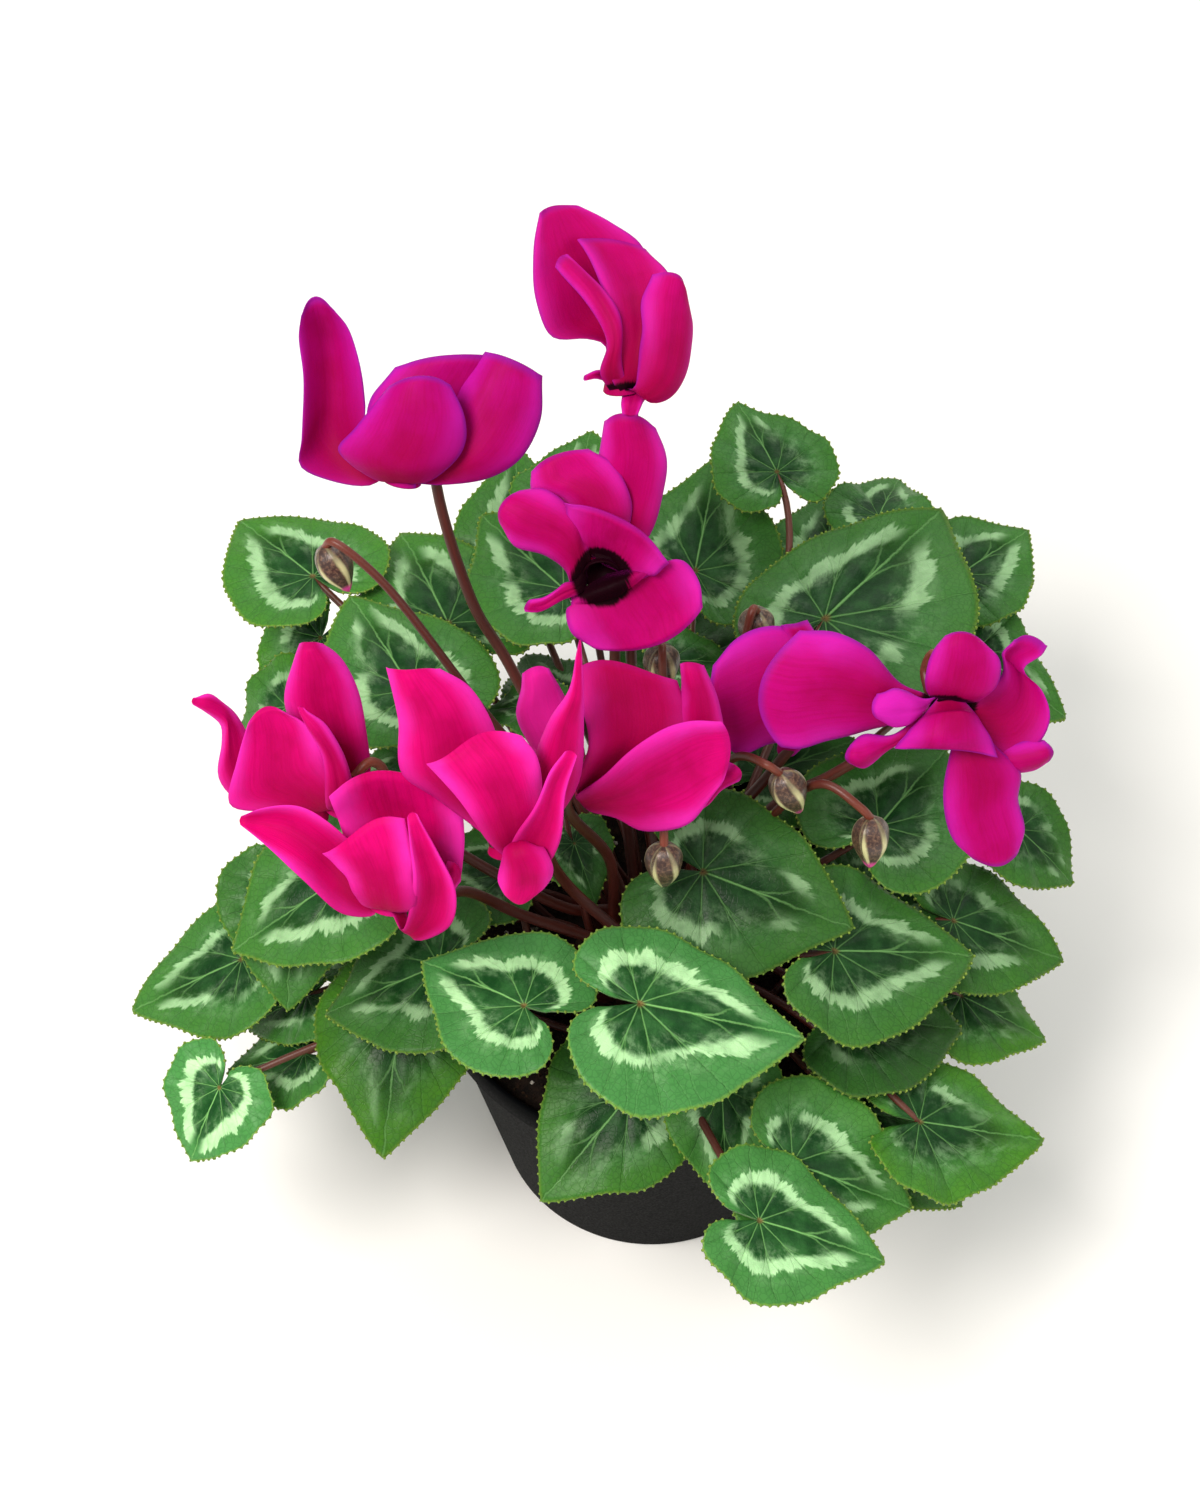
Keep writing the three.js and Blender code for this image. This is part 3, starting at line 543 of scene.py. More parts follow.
        skin = {"Height": n(Kind.PLUS, (net, pore)), "Distance": self.skin_depth_mm * MM}
        return b.finish(
            Base_Color=b.coats(body, [(under, self.under)]),
            Roughness=n(Kind.EASE, (mottle, 0.3, 0.7, 0.34, 0.48)),
            Normal=n(Kind.BUMP, {**skin, "Strength": 0.5, "Normal": sunk}),
            Specular_IOR_Level=0.15,
            Subsurface_Weight=0.05,
            Subsurface_Radius=(0.3, 1.0, 0.2),
            Subsurface_Scale=0.002,
            Coat_Weight=0.02,
            Coat_Roughness=0.25,
        )


@dataclass(frozen=True)
class PetalFinish:
    """Living cyclamen petal: a thin velvety skin of tiny domed cells."""

    # The domed cells swallow highlights and glow along the edges. The deep colour along each petal's middle
    # fold is painted shade, and the pale blush towards its sides and tip is painted sheen over the petal's
    # own bluer edge.
    hot: str = "#CE036A"
    cool: str = "#A2046E"
    deep: str = "#8C0034"
    eye: str = "#180209"
    edge: str = "#7C1C96"
    blush: str = "#F432BA"
    haze: str = "#B416A4"
    sheen: str = "#FF24D0"
    line_share: float = 0.03
    cloud_mm: float = 9.0
    cell_mm: float = 0.35
    depth_mm: float = 0.14

    def make(self) -> Material:
        """Build the material from the petal's own map: u across, v from throat to tip.

        Returns:
            The material.
        """
        b = Bench("cyclamen_petal_velvet")
        n = b.add
        spot = n(Kind.PLACE)
        flat = n(Kind.PATTERN)
        u, v = (n(Kind.SPLIT, (flat,), out) for out in range(2))
        names = ("hot", "seed", "pale", "shaded", "eye")
        hot, seed, pale, shaded, stain = (n(Kind.MARK, attribute_name=name) for name in names)
        across = n(Kind.SIZE, (n(Kind.LESS, (u, 0.5)),))
        fan = n(Kind.JOIN, (n(Kind.PLUS, (u, seed)), n(Kind.TIMES, (v, 0.09)), 0.0))
        lines = n(
            Kind.NOISE, {"Vector": fan, "Scale": 1.0 / self.line_share, "Detail": 4.0, "Roughness": 0.6}
        )
        cloud = n(Kind.NOISE, {"Vector": spot, "Scale": grain(self.cloud_mm), "Detail": 3.0})
        cells = n(Kind.NOISE, {"Vector": spot, "Scale": grain(self.cell_mm), "Detail": 2.0})
        cloud_sway, line_sway = (n(Kind.LESS, (noise, 0.5)) for noise in (cloud, lines))
        # Painted shade: the middle fold of each petal, where shade falls in the crease, is coloured deeper.
        fold = n(Kind.TIMES, (n(Kind.EASE, (across, 0.32, 0.04, 0.0, 0.42)), n(Kind.EASE, (v, 0.95, 0.55))))
        wide = n(Kind.PLUS, (across, n(Kind.TIMES, (cloud_sway, 0.25))))
        # Painted sheen: the sides and far part of each petal are paled towards a bluish pink, over the
        # petal's own bluer edge colour.
        blush = n(Kind.TIMES, (n(Kind.EASE, (wide, 0.22, 0.52)), n(Kind.EASE, (v, 0.3, 0.8, 0.25, 0.75))))
        rim = n(Kind.MOST, (n(Kind.EASE, (across, 0.455, 0.5)), n(Kind.EASE, (v, 0.94, 1.0))))
        rim = n(Kind.TIMES, (rim, n(Kind.EASE, (hot, 0.0, 1.0, 0.7, 0.0))))
        frayed = n(Kind.PLUS, (stain, n(Kind.TIMES, (line_sway, 0.7))))
        coats = (
            (hot, self.hot),
            (n(Kind.EASE, (cloud, 0.35, 0.7, 0.0, 0.4)), self.deep),
            (n(Kind.EASE, (lines, 0.42, 0.7, 0.0, 0.26)), self.deep),
            (n(Kind.EASE, (v, 0.7, 0.12, 0.0, 0.8)), self.deep),
            (fold, self.deep),
            (n(Kind.MOST, (blush, pale)), b.coats(self.haze, [(hot, self.blush)])),
            # Painted shade over whole petals that sit in shade.
            (shaded, self.deep),
            (rim, self.edge),
            (n(Kind.EASE, (frayed, 0.35, 0.75)), self.eye),
        )
        height = n(Kind.PLUS, (lines, n(Kind.TIMES, (cells, 0.5))))
        return b.finish(
            Base_Color=b.coats(self.cool, coats),
            Roughness=0.55,
            Normal=n(Kind.BUMP, {"Height": height, "Distance": self.depth_mm * MM, "Strength": 0.5}),
            Specular_IOR_Level=0.04,
            Subsurface_Weight=0.1,
            Subsurface_Radius=(1.0, 0.1, 0.3),
            Subsurface_Scale=0.0025,
            Sheen_Weight=0.1,
            Sheen_Roughness=0.3,
            Sheen_Tint=linear(self.sheen),
        )


@dataclass(frozen=True)
class StemFinish:
    """Living stem skin, smooth and slightly waxy, flushed with red over green."""

    # The wax draws one soft bright line along each stem, and the flush breaks it into fine streaks.
    name: str
    foot: str
    top: str
    flush: str
    blotch_mm: float = 1.2
    pore_mm: float = 0.4
    depth_mm: float = 0.12

    def make(self) -> Material:
        """Build the material, which changes from foot to top.

        Returns:
            The material.
        """
        b = Bench(self.name)
        n = b.add
        spot = n(Kind.PLACE)
        flat = n(Kind.PATTERN)
        u, v = (n(Kind.SPLIT, (flat,), out) for out in range(2))
        along, seed = (n(Kind.MARK, attribute_name=name) for name in ("along", "seed"))
        fan = n(Kind.JOIN, (u, n(Kind.TIMES, (v, 0.35)), seed))
        streak = n(Kind.NOISE, {"Vector": fan, "Scale": 8.0, "Detail": 4.0, "Roughness": 0.6})
        blotch = n(Kind.NOISE, {"Vector": spot, "Scale": grain(self.blotch_mm), "Detail": 4.0})
        pore = n(Kind.NOISE, {"Vector": spot, "Scale": grain(self.pore_mm), "Detail": 3.0})
        coats = (
            (n(Kind.EASE, (along, 0.45, 1.0)), self.top),
            (n(Kind.EASE, (streak, 0.4, 0.7, 0.0, 0.5)), self.flush),
            (n(Kind.EASE, (blotch, 0.55, 0.75, 0.0, 0.35)), self.foot),
        )
        height = n(Kind.PLUS, (streak, pore))
        return b.finish(
            Base_Color=b.coats(self.foot, coats),
            Roughness=0.4,
            Normal=n(Kind.BUMP, {"Height": height, "Distance": self.depth_mm * MM, "Strength": 0.5}),
            Specular_IOR_Level=0.42,
            Subsurface_Weight=0.06,
            Subsurface_Radius=(1.0, 0.4, 0.2),
            Subsurface_Scale=0.0015,
        )


@dataclass(frozen=True)
class BudFinish:
    """Young bud: five green-brown sepals with cream ribs, closed over a pink tip."""

    # The cream ribs catch the light, so the head looks wound like a ball of twine.
    husk: str = "#3A2622"
    blush: str = "#7A5C48"
    rib: str = "#D2CE98"
    tip: str = "#E0489E"
    speck_mm: float = 0.9
    depth_mm: float = 0.2

    def make(self) -> Material:
        """Build the material from the head's own map: u round it, v from stalk to tip.

        Returns:
            The material.
        """
        b = Bench("cyclamen_bud_sepal")
        n = b.add
        spot = n(Kind.PLACE)
        flat = n(Kind.PATTERN)
        u, v = (n(Kind.SPLIT, (flat,), out) for out in range(2))
        pink = n(Kind.MARK, attribute_name="pink")
        wound = n(Kind.PLUS, (n(Kind.TIMES, (u, 5.0)), n(Kind.TIMES, (v, 0.38))))
        rib = n(Kind.FOLD, (wound, 0.5))
        speck = n(
            Kind.NOISE, {"Vector": spot, "Scale": grain(self.speck_mm), "Detail": 4.0, "Roughness": 0.65}
        )
        rib = n(Kind.PLUS, (rib, n(Kind.TIMES, (speck, 0.12))))
        ribs = n(Kind.EASE, (rib, 0.27, 0.12))
        coats = (
            (n(Kind.EASE, (speck, 0.42, 0.68, 0.0, 0.8)), self.blush),
            (n(Kind.TIMES, (ribs, n(Kind.EASE, (v, 0.15, 0.5, 0.2, 0.95)))), self.rib),
            (n(Kind.TIMES, (n(Kind.EASE, (v, 0.8, 0.9)), pink)), self.tip),
        )
        height = n(Kind.PLUS, (ribs, speck))
        return b.finish(
            Base_Color=b.coats(self.husk, coats),
            Roughness=0.36,
            Normal=n(Kind.BUMP, {"Height": height, "Distance": self.depth_mm * MM, "Strength": 0.7}),
            Specular_IOR_Level=0.5,
            Coat_Weight=0.2,
            Coat_Roughness=0.2,
        )


@dataclass(frozen=True)
class EarthFinish:
    """Rough natural matter, such as peat, perlite or corky skin."""

    # It is matt to the eye, with no highlight, and its grain casts small shadows.
    name: str
    dark: str
    light: str
    grain_mm: float
    depth_mm: float

    def make(self) -> Material:
        """Build the material.

        Returns:
            The material.
        """
        b = Bench(self.name)
        n = b.add
        spot = n(Kind.PLACE)
        coarse_scale, fine_scale = grain(self.grain_mm), grain(self.grain_mm / 5)
        coarse = n(Kind.NOISE, {"Vector": spot, "Scale": coarse_scale, "Detail": 8.0, "Roughness": 0.68})
        fine = n(Kind.NOISE, {"Vector": spot, "Scale": fine_scale, "Detail": 4.0, "Roughness": 0.6})
        coats = (
            (n(Kind.EASE, (coarse, 0.35, 0.68)), self.light),
            (n(Kind.EASE, (fine, 0.5, 0.75, 0.0, 0.4)), self.dark),
        )
        height = n(Kind.PLUS, (coarse, n(Kind.TIMES, (fine, 0.4))))
        return b.finish(
            Base_Color=b.coats(self.dark, coats),
            Roughness=0.93,
            Normal=n(Kind.BUMP, {"Height": height, "Distance": self.depth_mm * MM}),
            Specular_IOR_Level=0.25,
        )


@dataclass(frozen=True)
class PotFinish:
    """Injection-moulded polypropylene, near black."""

    # The mould's fine spark grain gives a dull sheen, broken by dried splashes of peaty water.
    body: str = "#040506"
    dust: str = "#1C1916"
    splash_mm: float = 7.0
    spark_mm: float = 0.6
    depth_mm: float = 0.05

    def make(self) -> Material:
        """Build the material.

        Returns:
            The material.
        """
        b = Bench("nursery_pot_moulded_polypropylene")
        n = b.add
        spot = n(Kind.PLACE)
        splash = n(
            Kind.NOISE, {"Vector": spot, "Scale": grain(self.splash_mm), "Detail": 8.0, "Roughness": 0.7}
        )
        spark = n(Kind.NOISE, {"Vector": spot, "Scale": grain(self.spark_mm), "Detail": 3.0})
        dust = n(Kind.EASE, (splash, 0.56, 0.78, 0.0, 0.22))
        sheen = n(Kind.EASE, (spark, 0.3, 0.7, 0.48, 0.6))
        return b.finish(
            Base_Color=b.coats(self.body, [(dust, self.dust)]),
            Roughness=n(Kind.PLUS, (sheen, n(Kind.TIMES, (dust, 0.6)))),
            Normal=n(Kind.BUMP, {"Height": spark, "Distance": self.depth_mm * MM, "Strength": 0.5}),
            Specular_IOR_Level=0.012,
        )


@dataclass(frozen=True)
class Finishes:
    """Every material of the plant, made once."""

    leaf: Material
    tooth: Material
    petiole: Material
    petal: Material
    stalk: Material
    bud: Material
    soil: Material
    crumb: Material
    perlite: Material
    tuber: Material
    pot: Material

    @classmethod
    def make(cls) -> Finishes:
        """Build them all.

        Returns:
            The finishes.
        """
        return cls(
            leaf=LeafFinish().make(),
            tooth=EarthFinish("leaf_tooth_callus", "#547428", "#93A84A", 0.8, 0.02).make(),
            petiole=StemFinish("petiole_skin", "#421A14", "#5C3426", "#5E281E").make(),
            petal=PetalFinish().make(),
            stalk=StemFinish("flower_stalk_skin", "#421810", "#7C3A2A", "#5E241A").make(),
            bud=BudFinish().make(),
            soil=EarthFinish("moist_peat", "#0E0805", "#2A1C14", 2.4, 0.8).make(),
            crumb=EarthFinish("peat_and_bark_crumb", "#150C07", "#3E2A1C", 1.1, 0.3).make(),
            perlite=EarthFinish("perlite_grain", "#A8A196", "#E6E1D8", 0.9, 0.2).make(),
            tuber=EarthFinish("corky_tuber_skin", "#1E130C", "#4E3828", 3.5, 0.9).make(),
            pot=PotFinish().make(),
        )


# ------------------------------------------------------------------ the picture's view


@dataclass(frozen=True)
class View:
    """The photograph's viewing angle, from which the camera and the petals' outlines are placed."""

    eye: Triple = (-14.47, -389.22, 738.04)
    look_down: float = 55.0
    lens_mm: float = 68.4
    film_mm: float = 36.0
    columns: int = 1200
    rows: int = 1500

    @property
    def up(self) -> Vector:
        """Up in the picture."""
        angle = math.radians(self.look_down)
        return Vector((0, math.sin(angle), math.cos(angle)))

    @property
    def front(self) -> Vector:
        """From the plant towards the camera."""
        angle = math.radians(self.look_down)
        return Vector((0, -math.cos(angle), math.sin(angle)))

    def place(self, spot: Triple, beside: Vector, upright: float = 0.0) -> Vector:
        """Find where a spot of the picture lies.

        Args:
            spot: Its column and row, and how far in front of beside it lies, in millimetres.
            beside: A point in metres whose distance it is measured from.
            upright: How much nearer it comes for each millimetre that it lies above beside.

        Returns:
            The place in metres.
        """
        column, row, nearer = spot
        eye = metres(self.eye)
        away = (eye - beside).dot(self.front)
        pixel = self.film_mm / (self.lens_mm * self.rows)
        rise = (self.rows / 2 - row) * pixel * away - (beside - eye).dot(self.up)
        away -= nearer * MM + upright * rise
        right = Vector(((column - self.columns / 2) * pixel * away, 0, 0))
        return eye - self.front * away + right + self.up * ((self.rows / 2 - row) * pixel * away)


VIEW = View()


# ------------------------------------------------------------------ where things stand

TUBER_RADIUS, TUBER_HALF_HEIGHT, TUBER_TOP = 24.0, 15.0, 95.0
STALK_RING, BUD_RING, INNER_PETIOLE_RING, OUTER_PETIOLE_RING = 4.2, 8.8, 13.4, 18.6
YOUNG_PETIOLE_RING = 22.5
INNER_BLOOMS = 5
# Steps of a curve between each two of the points it passes through.
EDGE_STEPS, STALK_STEPS = 12, 9


@dataclass(frozen=True)
class Seat:
    """Foot of a stem on the tuber's crown, and the way out of the skin there."""

    foot: Vector
    normal: Vector


def crown_seat(ring: float, azimuth: float) -> Seat:
    """Find a seat on the crown.

    Args:
        ring: Distance from the middle, in millimetres.
        azimuth: Direction in radians.

    Returns:
        The seat, just under the skin.
    """
    rise = TUBER_HALF_HEIGHT * math.sqrt(1 - (ring / TUBER_RADIUS) ** 2)
    out = Vector((math.cos(azimuth), math.sin(azimuth), 0))
    normal = out * (ring / TUBER_RADIUS**2)
    normal.z = rise / TUBER_HALF_HEIGHT**2
    normal.normalize()
    foot = out * ring
    foot.z = TUBER_TOP - TUBER_HALF_HEIGHT + rise
    return Seat((foot - normal * 0.5) * MM, normal)


def deal_seats(reaches: Sequence[Triple], ring: float) -> list[Seat]:
    """Deal seats round a ring in the order of what stands on them.

    Args:
        reaches: Where each stem leads, in millimetres.
        ring: Radius of the ring, in millimetres.

    Returns:
        A seat for each stem.
    """
    azimuths = [math.atan2(reach[1], reach[0]) for reach in reaches]
    order = sorted(range(len(reaches)), key=lambda k: azimuths[k])
    step = 2 * math.pi / len(order)
    sine = sum(math.sin(azimuths[k] - place * step) for place, k in enumerate(order))
    cosine = sum(math.cos(azimuths[k] - place * step) for place, k in enumerate(order))
    start = math.atan2(sine, cosine)
    seats: list[Seat] = [crown_seat(ring, 0.0)] * len(order)
    for place, k in enumerate(order):
        seats[k] = crown_seat(ring, start + place * step)
    return seats


# ------------------------------------------------------------------ leaves


@dataclass(frozen=True)
class Leaf:
    """One leaf. Lengths are millimetres and angles degrees.

    Heading is the midrib's direction from +X, droop its slope below the level, tilt the turn about
    it, and length runs from hilum to tip. Spread widens the blade and lean makes one half wider. Arch
    rounds it down, fold lifts its halves, wave ripples its margin, and curl lifts the edge round the
    direction curl_at, which is measured from the midrib. Lift is how far the petiole climbs to the
    hilum, and sway how far it swings aside. Band is the width of the silver band as a share of the
    blade, silver how little it is broken, tone the blade's brightness and warm how yellow its margin is.
    That brightness is partly the leaf's own paleness and partly painted shade and light: leaves that
    sit in shade under others are darkened, and leaves in front are lightened.
    """

    hilum: Triple
    heading: float
    droop: float
    tilt: float
    length: float
    spread: float = 1.0
    lean: float = 0.0
    arch: float = 3.0
    fold: float = 2.0
    wave: float = 1.1
    lift: float = 12.0
    sway: float = 0.0
    band: float = 0.1
    silver: float = 0.35
    tone: float = 1.0
    warm: float = 0.35
    curl: float = 0.0
    curl_at: float = 0.0


# The petiole of a low leaf comes down to it over the pot's rim.
LOW = {"lift": -8.0}

INNER_LEAVES: dict[str, tuple[Leaf, ...]] = {
    "leaf_front": (
        Leaf((-5, -45, 140), -6, 9, 0, 41, arch=4, lean=0.14, band=0.13, tone=1.38, warm=0.0, silver=0.6),
    ),
    "leaf_front_left": (Leaf((-33, -40, 130), 146, 6, 0, 33, arch=4, tone=1.4, warm=0.0, silver=0.5),),
    "leaf_centre_right": (
        Leaf((11, -8, 141), -18, 10, 24, 40, lean=0.12, band=0.08, tone=0.62, silver=0.42),
    ),
    "leaf_right": (Leaf((44, -22, 126), 11, 16, 6, 40, band=0.08, tone=0.8, silver=0.46),),
    "leaf_right_back": (Leaf((57, 14, 128), 55, 4, 0, 36, spread=1.04, band=0.07, tone=0.8, silver=0.4),),
    "leaf_back_fold": (
        Leaf((44, 65, 149), 53, 8, 0, 58, spread=0.85, lean=0.28, fold=6, tone=0.78, silver=0.42),
    ),
    "leaf_back_right": (
        Leaf((11, 88, 140), 80, -8, 0, 39, spread=0.94, lift=20, band=0.11, tone=0.9, silver=0.4),
        Leaf((4, 64, 132), 10, 6, 0, 18, band=0.05, tone=0.9),
    ),
    "leaf_back_middle": (Leaf((-24, 74, 150), 126, 8, 0, 38, band=0.12, tone=0.95, silver=0.5),),
    "leaf_back_left_upper": (Leaf((-55, 75, 134), 111, 5, 0, 42, tone=0.95, warm=0.5, silver=0.45),),
    "leaf_back_left_lower": (Leaf((-63, 47, 142), 119, -2, 0, 37, band=0.12, silver=0.5),),
    "leaf_small_centre": (
        Leaf((-21, 5, 134), -67, 22, 0, 16, band=0.04, tone=0.62),
        Leaf((-30, 48, 134), 170, 10, 0, 16, band=0.04, tone=0.7),
    ),
}

OUTER_LEAVES: dict[str, tuple[Leaf, ...]] = {
    "leaf_far_left_upper": (Leaf((-92, 91, 134), 130, 10, 0, 36, tone=1.05, warm=0.5, silver=0.42),),
    "leaf_far_left": (
        Leaf((-91, 84, 116), -130, 34, 0, 28, tone=1.05, warm=0.6),
        Leaf((-99, 62, 114), -160, 40, 0, 26, warm=0.5),
    ),
    "leaf_back_under_bloom": (
        Leaf((-37, 103, 124), 92, -20, 0, 35, spread=0.9, tone=0.9, warm=0.4),
        Leaf((-22, 112, 138), 80, -8, 0, 28, tone=0.95, warm=0.4),
    ),
    "leaf_back_top": (Leaf((33, 110, 155), 112, -8, 0, 27, sway=-26, band=0.08, tone=0.95, silver=0.4),),
    "leaf_back_grey": (
        Leaf((48, 96, 132), 87, 8, 0, 33, band=0.08),
        Leaf((62, 112, 134), 70, 12, 0, 24, tone=0.9),
    ),
    "leaf_back_corner": (
        Leaf((85, 104, 118), 45, 8, 0, 32, tone=0.9),
        Leaf((88, 80, 115), -21, 26, 0, 32, tone=0.9, warm=0.4),
    ),
    "leaf_far_right": (Leaf((96, 25, 110), -26, 32, 0, 24, tone=0.8, warm=0.5),),
    "leaf_right_under": (Leaf((77, -2, 108), -4, 24, 0, 34, lift=4, tone=0.72, warm=0.5),),
    "leaf_right_low": (Leaf((80, -14, 90), -12, 26, 0, 28, lift=-11, tone=0.85, warm=0.7, silver=0.3),),
    "leaf_right_shade": (Leaf((49, -30, 106), 10, 20, 0, 36, lift=4, tone=0.55, silver=0.3),),
    "leaf_front_right_low": (
        Leaf((66, -54, 96), 4, 21, 0, 35, **LOW, band=0.05, tone=0.95, warm=0.7, silver=0.25),
    ),
    "leaf_front_right_shade": (
        Leaf((48, -50, 94), -26, 28, 0, 42, spread=0.86, lift=-6, tone=0.66, warm=0.6),
    ),
    "leaf_front_right_curled": (
        Leaf((33, -69, 103), -9, 24, 12, 36, lift=8, band=0.09, tone=1.1, silver=0.46, curl=3.0, curl_at=75),
    ),
    "leaf_front_right_tip": (Leaf((24, -87, 108), -8, 18, 0, 33, lift=8, tone=1.32, warm=0.1, silver=0.45),),
    "leaf_front_middle": (
        Leaf((16, -50, 106), -87, 30, -2, 30, spread=0.8, lift=2, band=0.08, tone=1.05, silver=0.4),
    ),
    "leaf_front_under": (Leaf((-7, -50, 103), -132, 16, -15, 34, arch=5, lift=2, tone=0.85, warm=0.5),),
    "leaf_left_shade": (
        Leaf((-65, -26, 105), -98, 14, 0, 36, arch=12, lift=3, tone=0.72, warm=0.8, silver=0.3),
    ),
    "leaf_left_hanging": (
        Leaf((-112, -41, 90), -125, 40, 0, 24, **LOW, band=0.16, tone=1.65, warm=0.0, silver=0.55),
    ),
    "leaf_left_under": (
        Leaf((-91, -30, 88), 176, 26, 0, 24, **LOW),
        Leaf((-91, -15, 92), -173, 30, 0, 22, **LOW, tone=0.95),
    ),
    "leaf_left_inner": (Leaf((-55, -22, 119), -172, 25, 0, 36, lift=4, band=0.08, tone=0.72, silver=0.42),),
    "leaf_far_left_tip": (Leaf((-108, -7, 97), -170, 26, 0, 34, **LOW, band=0.08, tone=1.05, silver=0.4),),
    "leaf_left_upper": (
        Leaf((-80, -3, 130), -157, 22, 0, 36, silver=0.45),
        Leaf((-94, 0, 118), -91, 28, 0, 30, tone=0.85),
    ),
}

# Each pair is a direction from the midrib in degrees, and the margin's distance there as a share of
# the length from hilum to tip.
BLADE_OUTLINE = (
    (0, 1), (10, 0.87), (26, 0.74), (48, 0.67), (74, 0.64), (100, 0.61), (125, 0.56), (146, 0.49),
    (159, 0.38), (168, 0.24),
)
VEIN_ANGLES = (-168, -142, -106, -70, -34, 0, 34, 70, 106, 142, 168)
USUAL_LENGTH = 40
CURL_REACH = 45

# Small leaves deep in the crown, which fill the gaps between the raised ones.
YOUNG_LEAVES = (
    Leaf((29, 37, 118), 32, 8, 0, 30, band=0.05, tone=0.6),
    Leaf((6, 72, 118), 36, 6, 0, 32, band=0.05, tone=0.6),
    Leaf((52, 3, 113), 12, 12, 0, 30, band=0.06, tone=0.62),
    Leaf((-27, 62, 117), 112, 14, 0, 24, band=0.05, tone=0.62),
    Leaf((-38, 6, 119), 155, 10, 0, 26, band=0.05, tone=0.75),
    Leaf((-58, 38, 121), 185, 10, 0, 26, band=0.06, tone=0.8),
    Leaf((-72, -10, 106), 175, 20, 0, 20, band=0.06, tone=0.7),
)


def sectors(degrees: Array) -> Array:
    """Count the sectors between main veins up to each direction."""
    return np.interp(degrees, VEIN_ANGLES, np.arange(len(VEIN_ANGLES)))


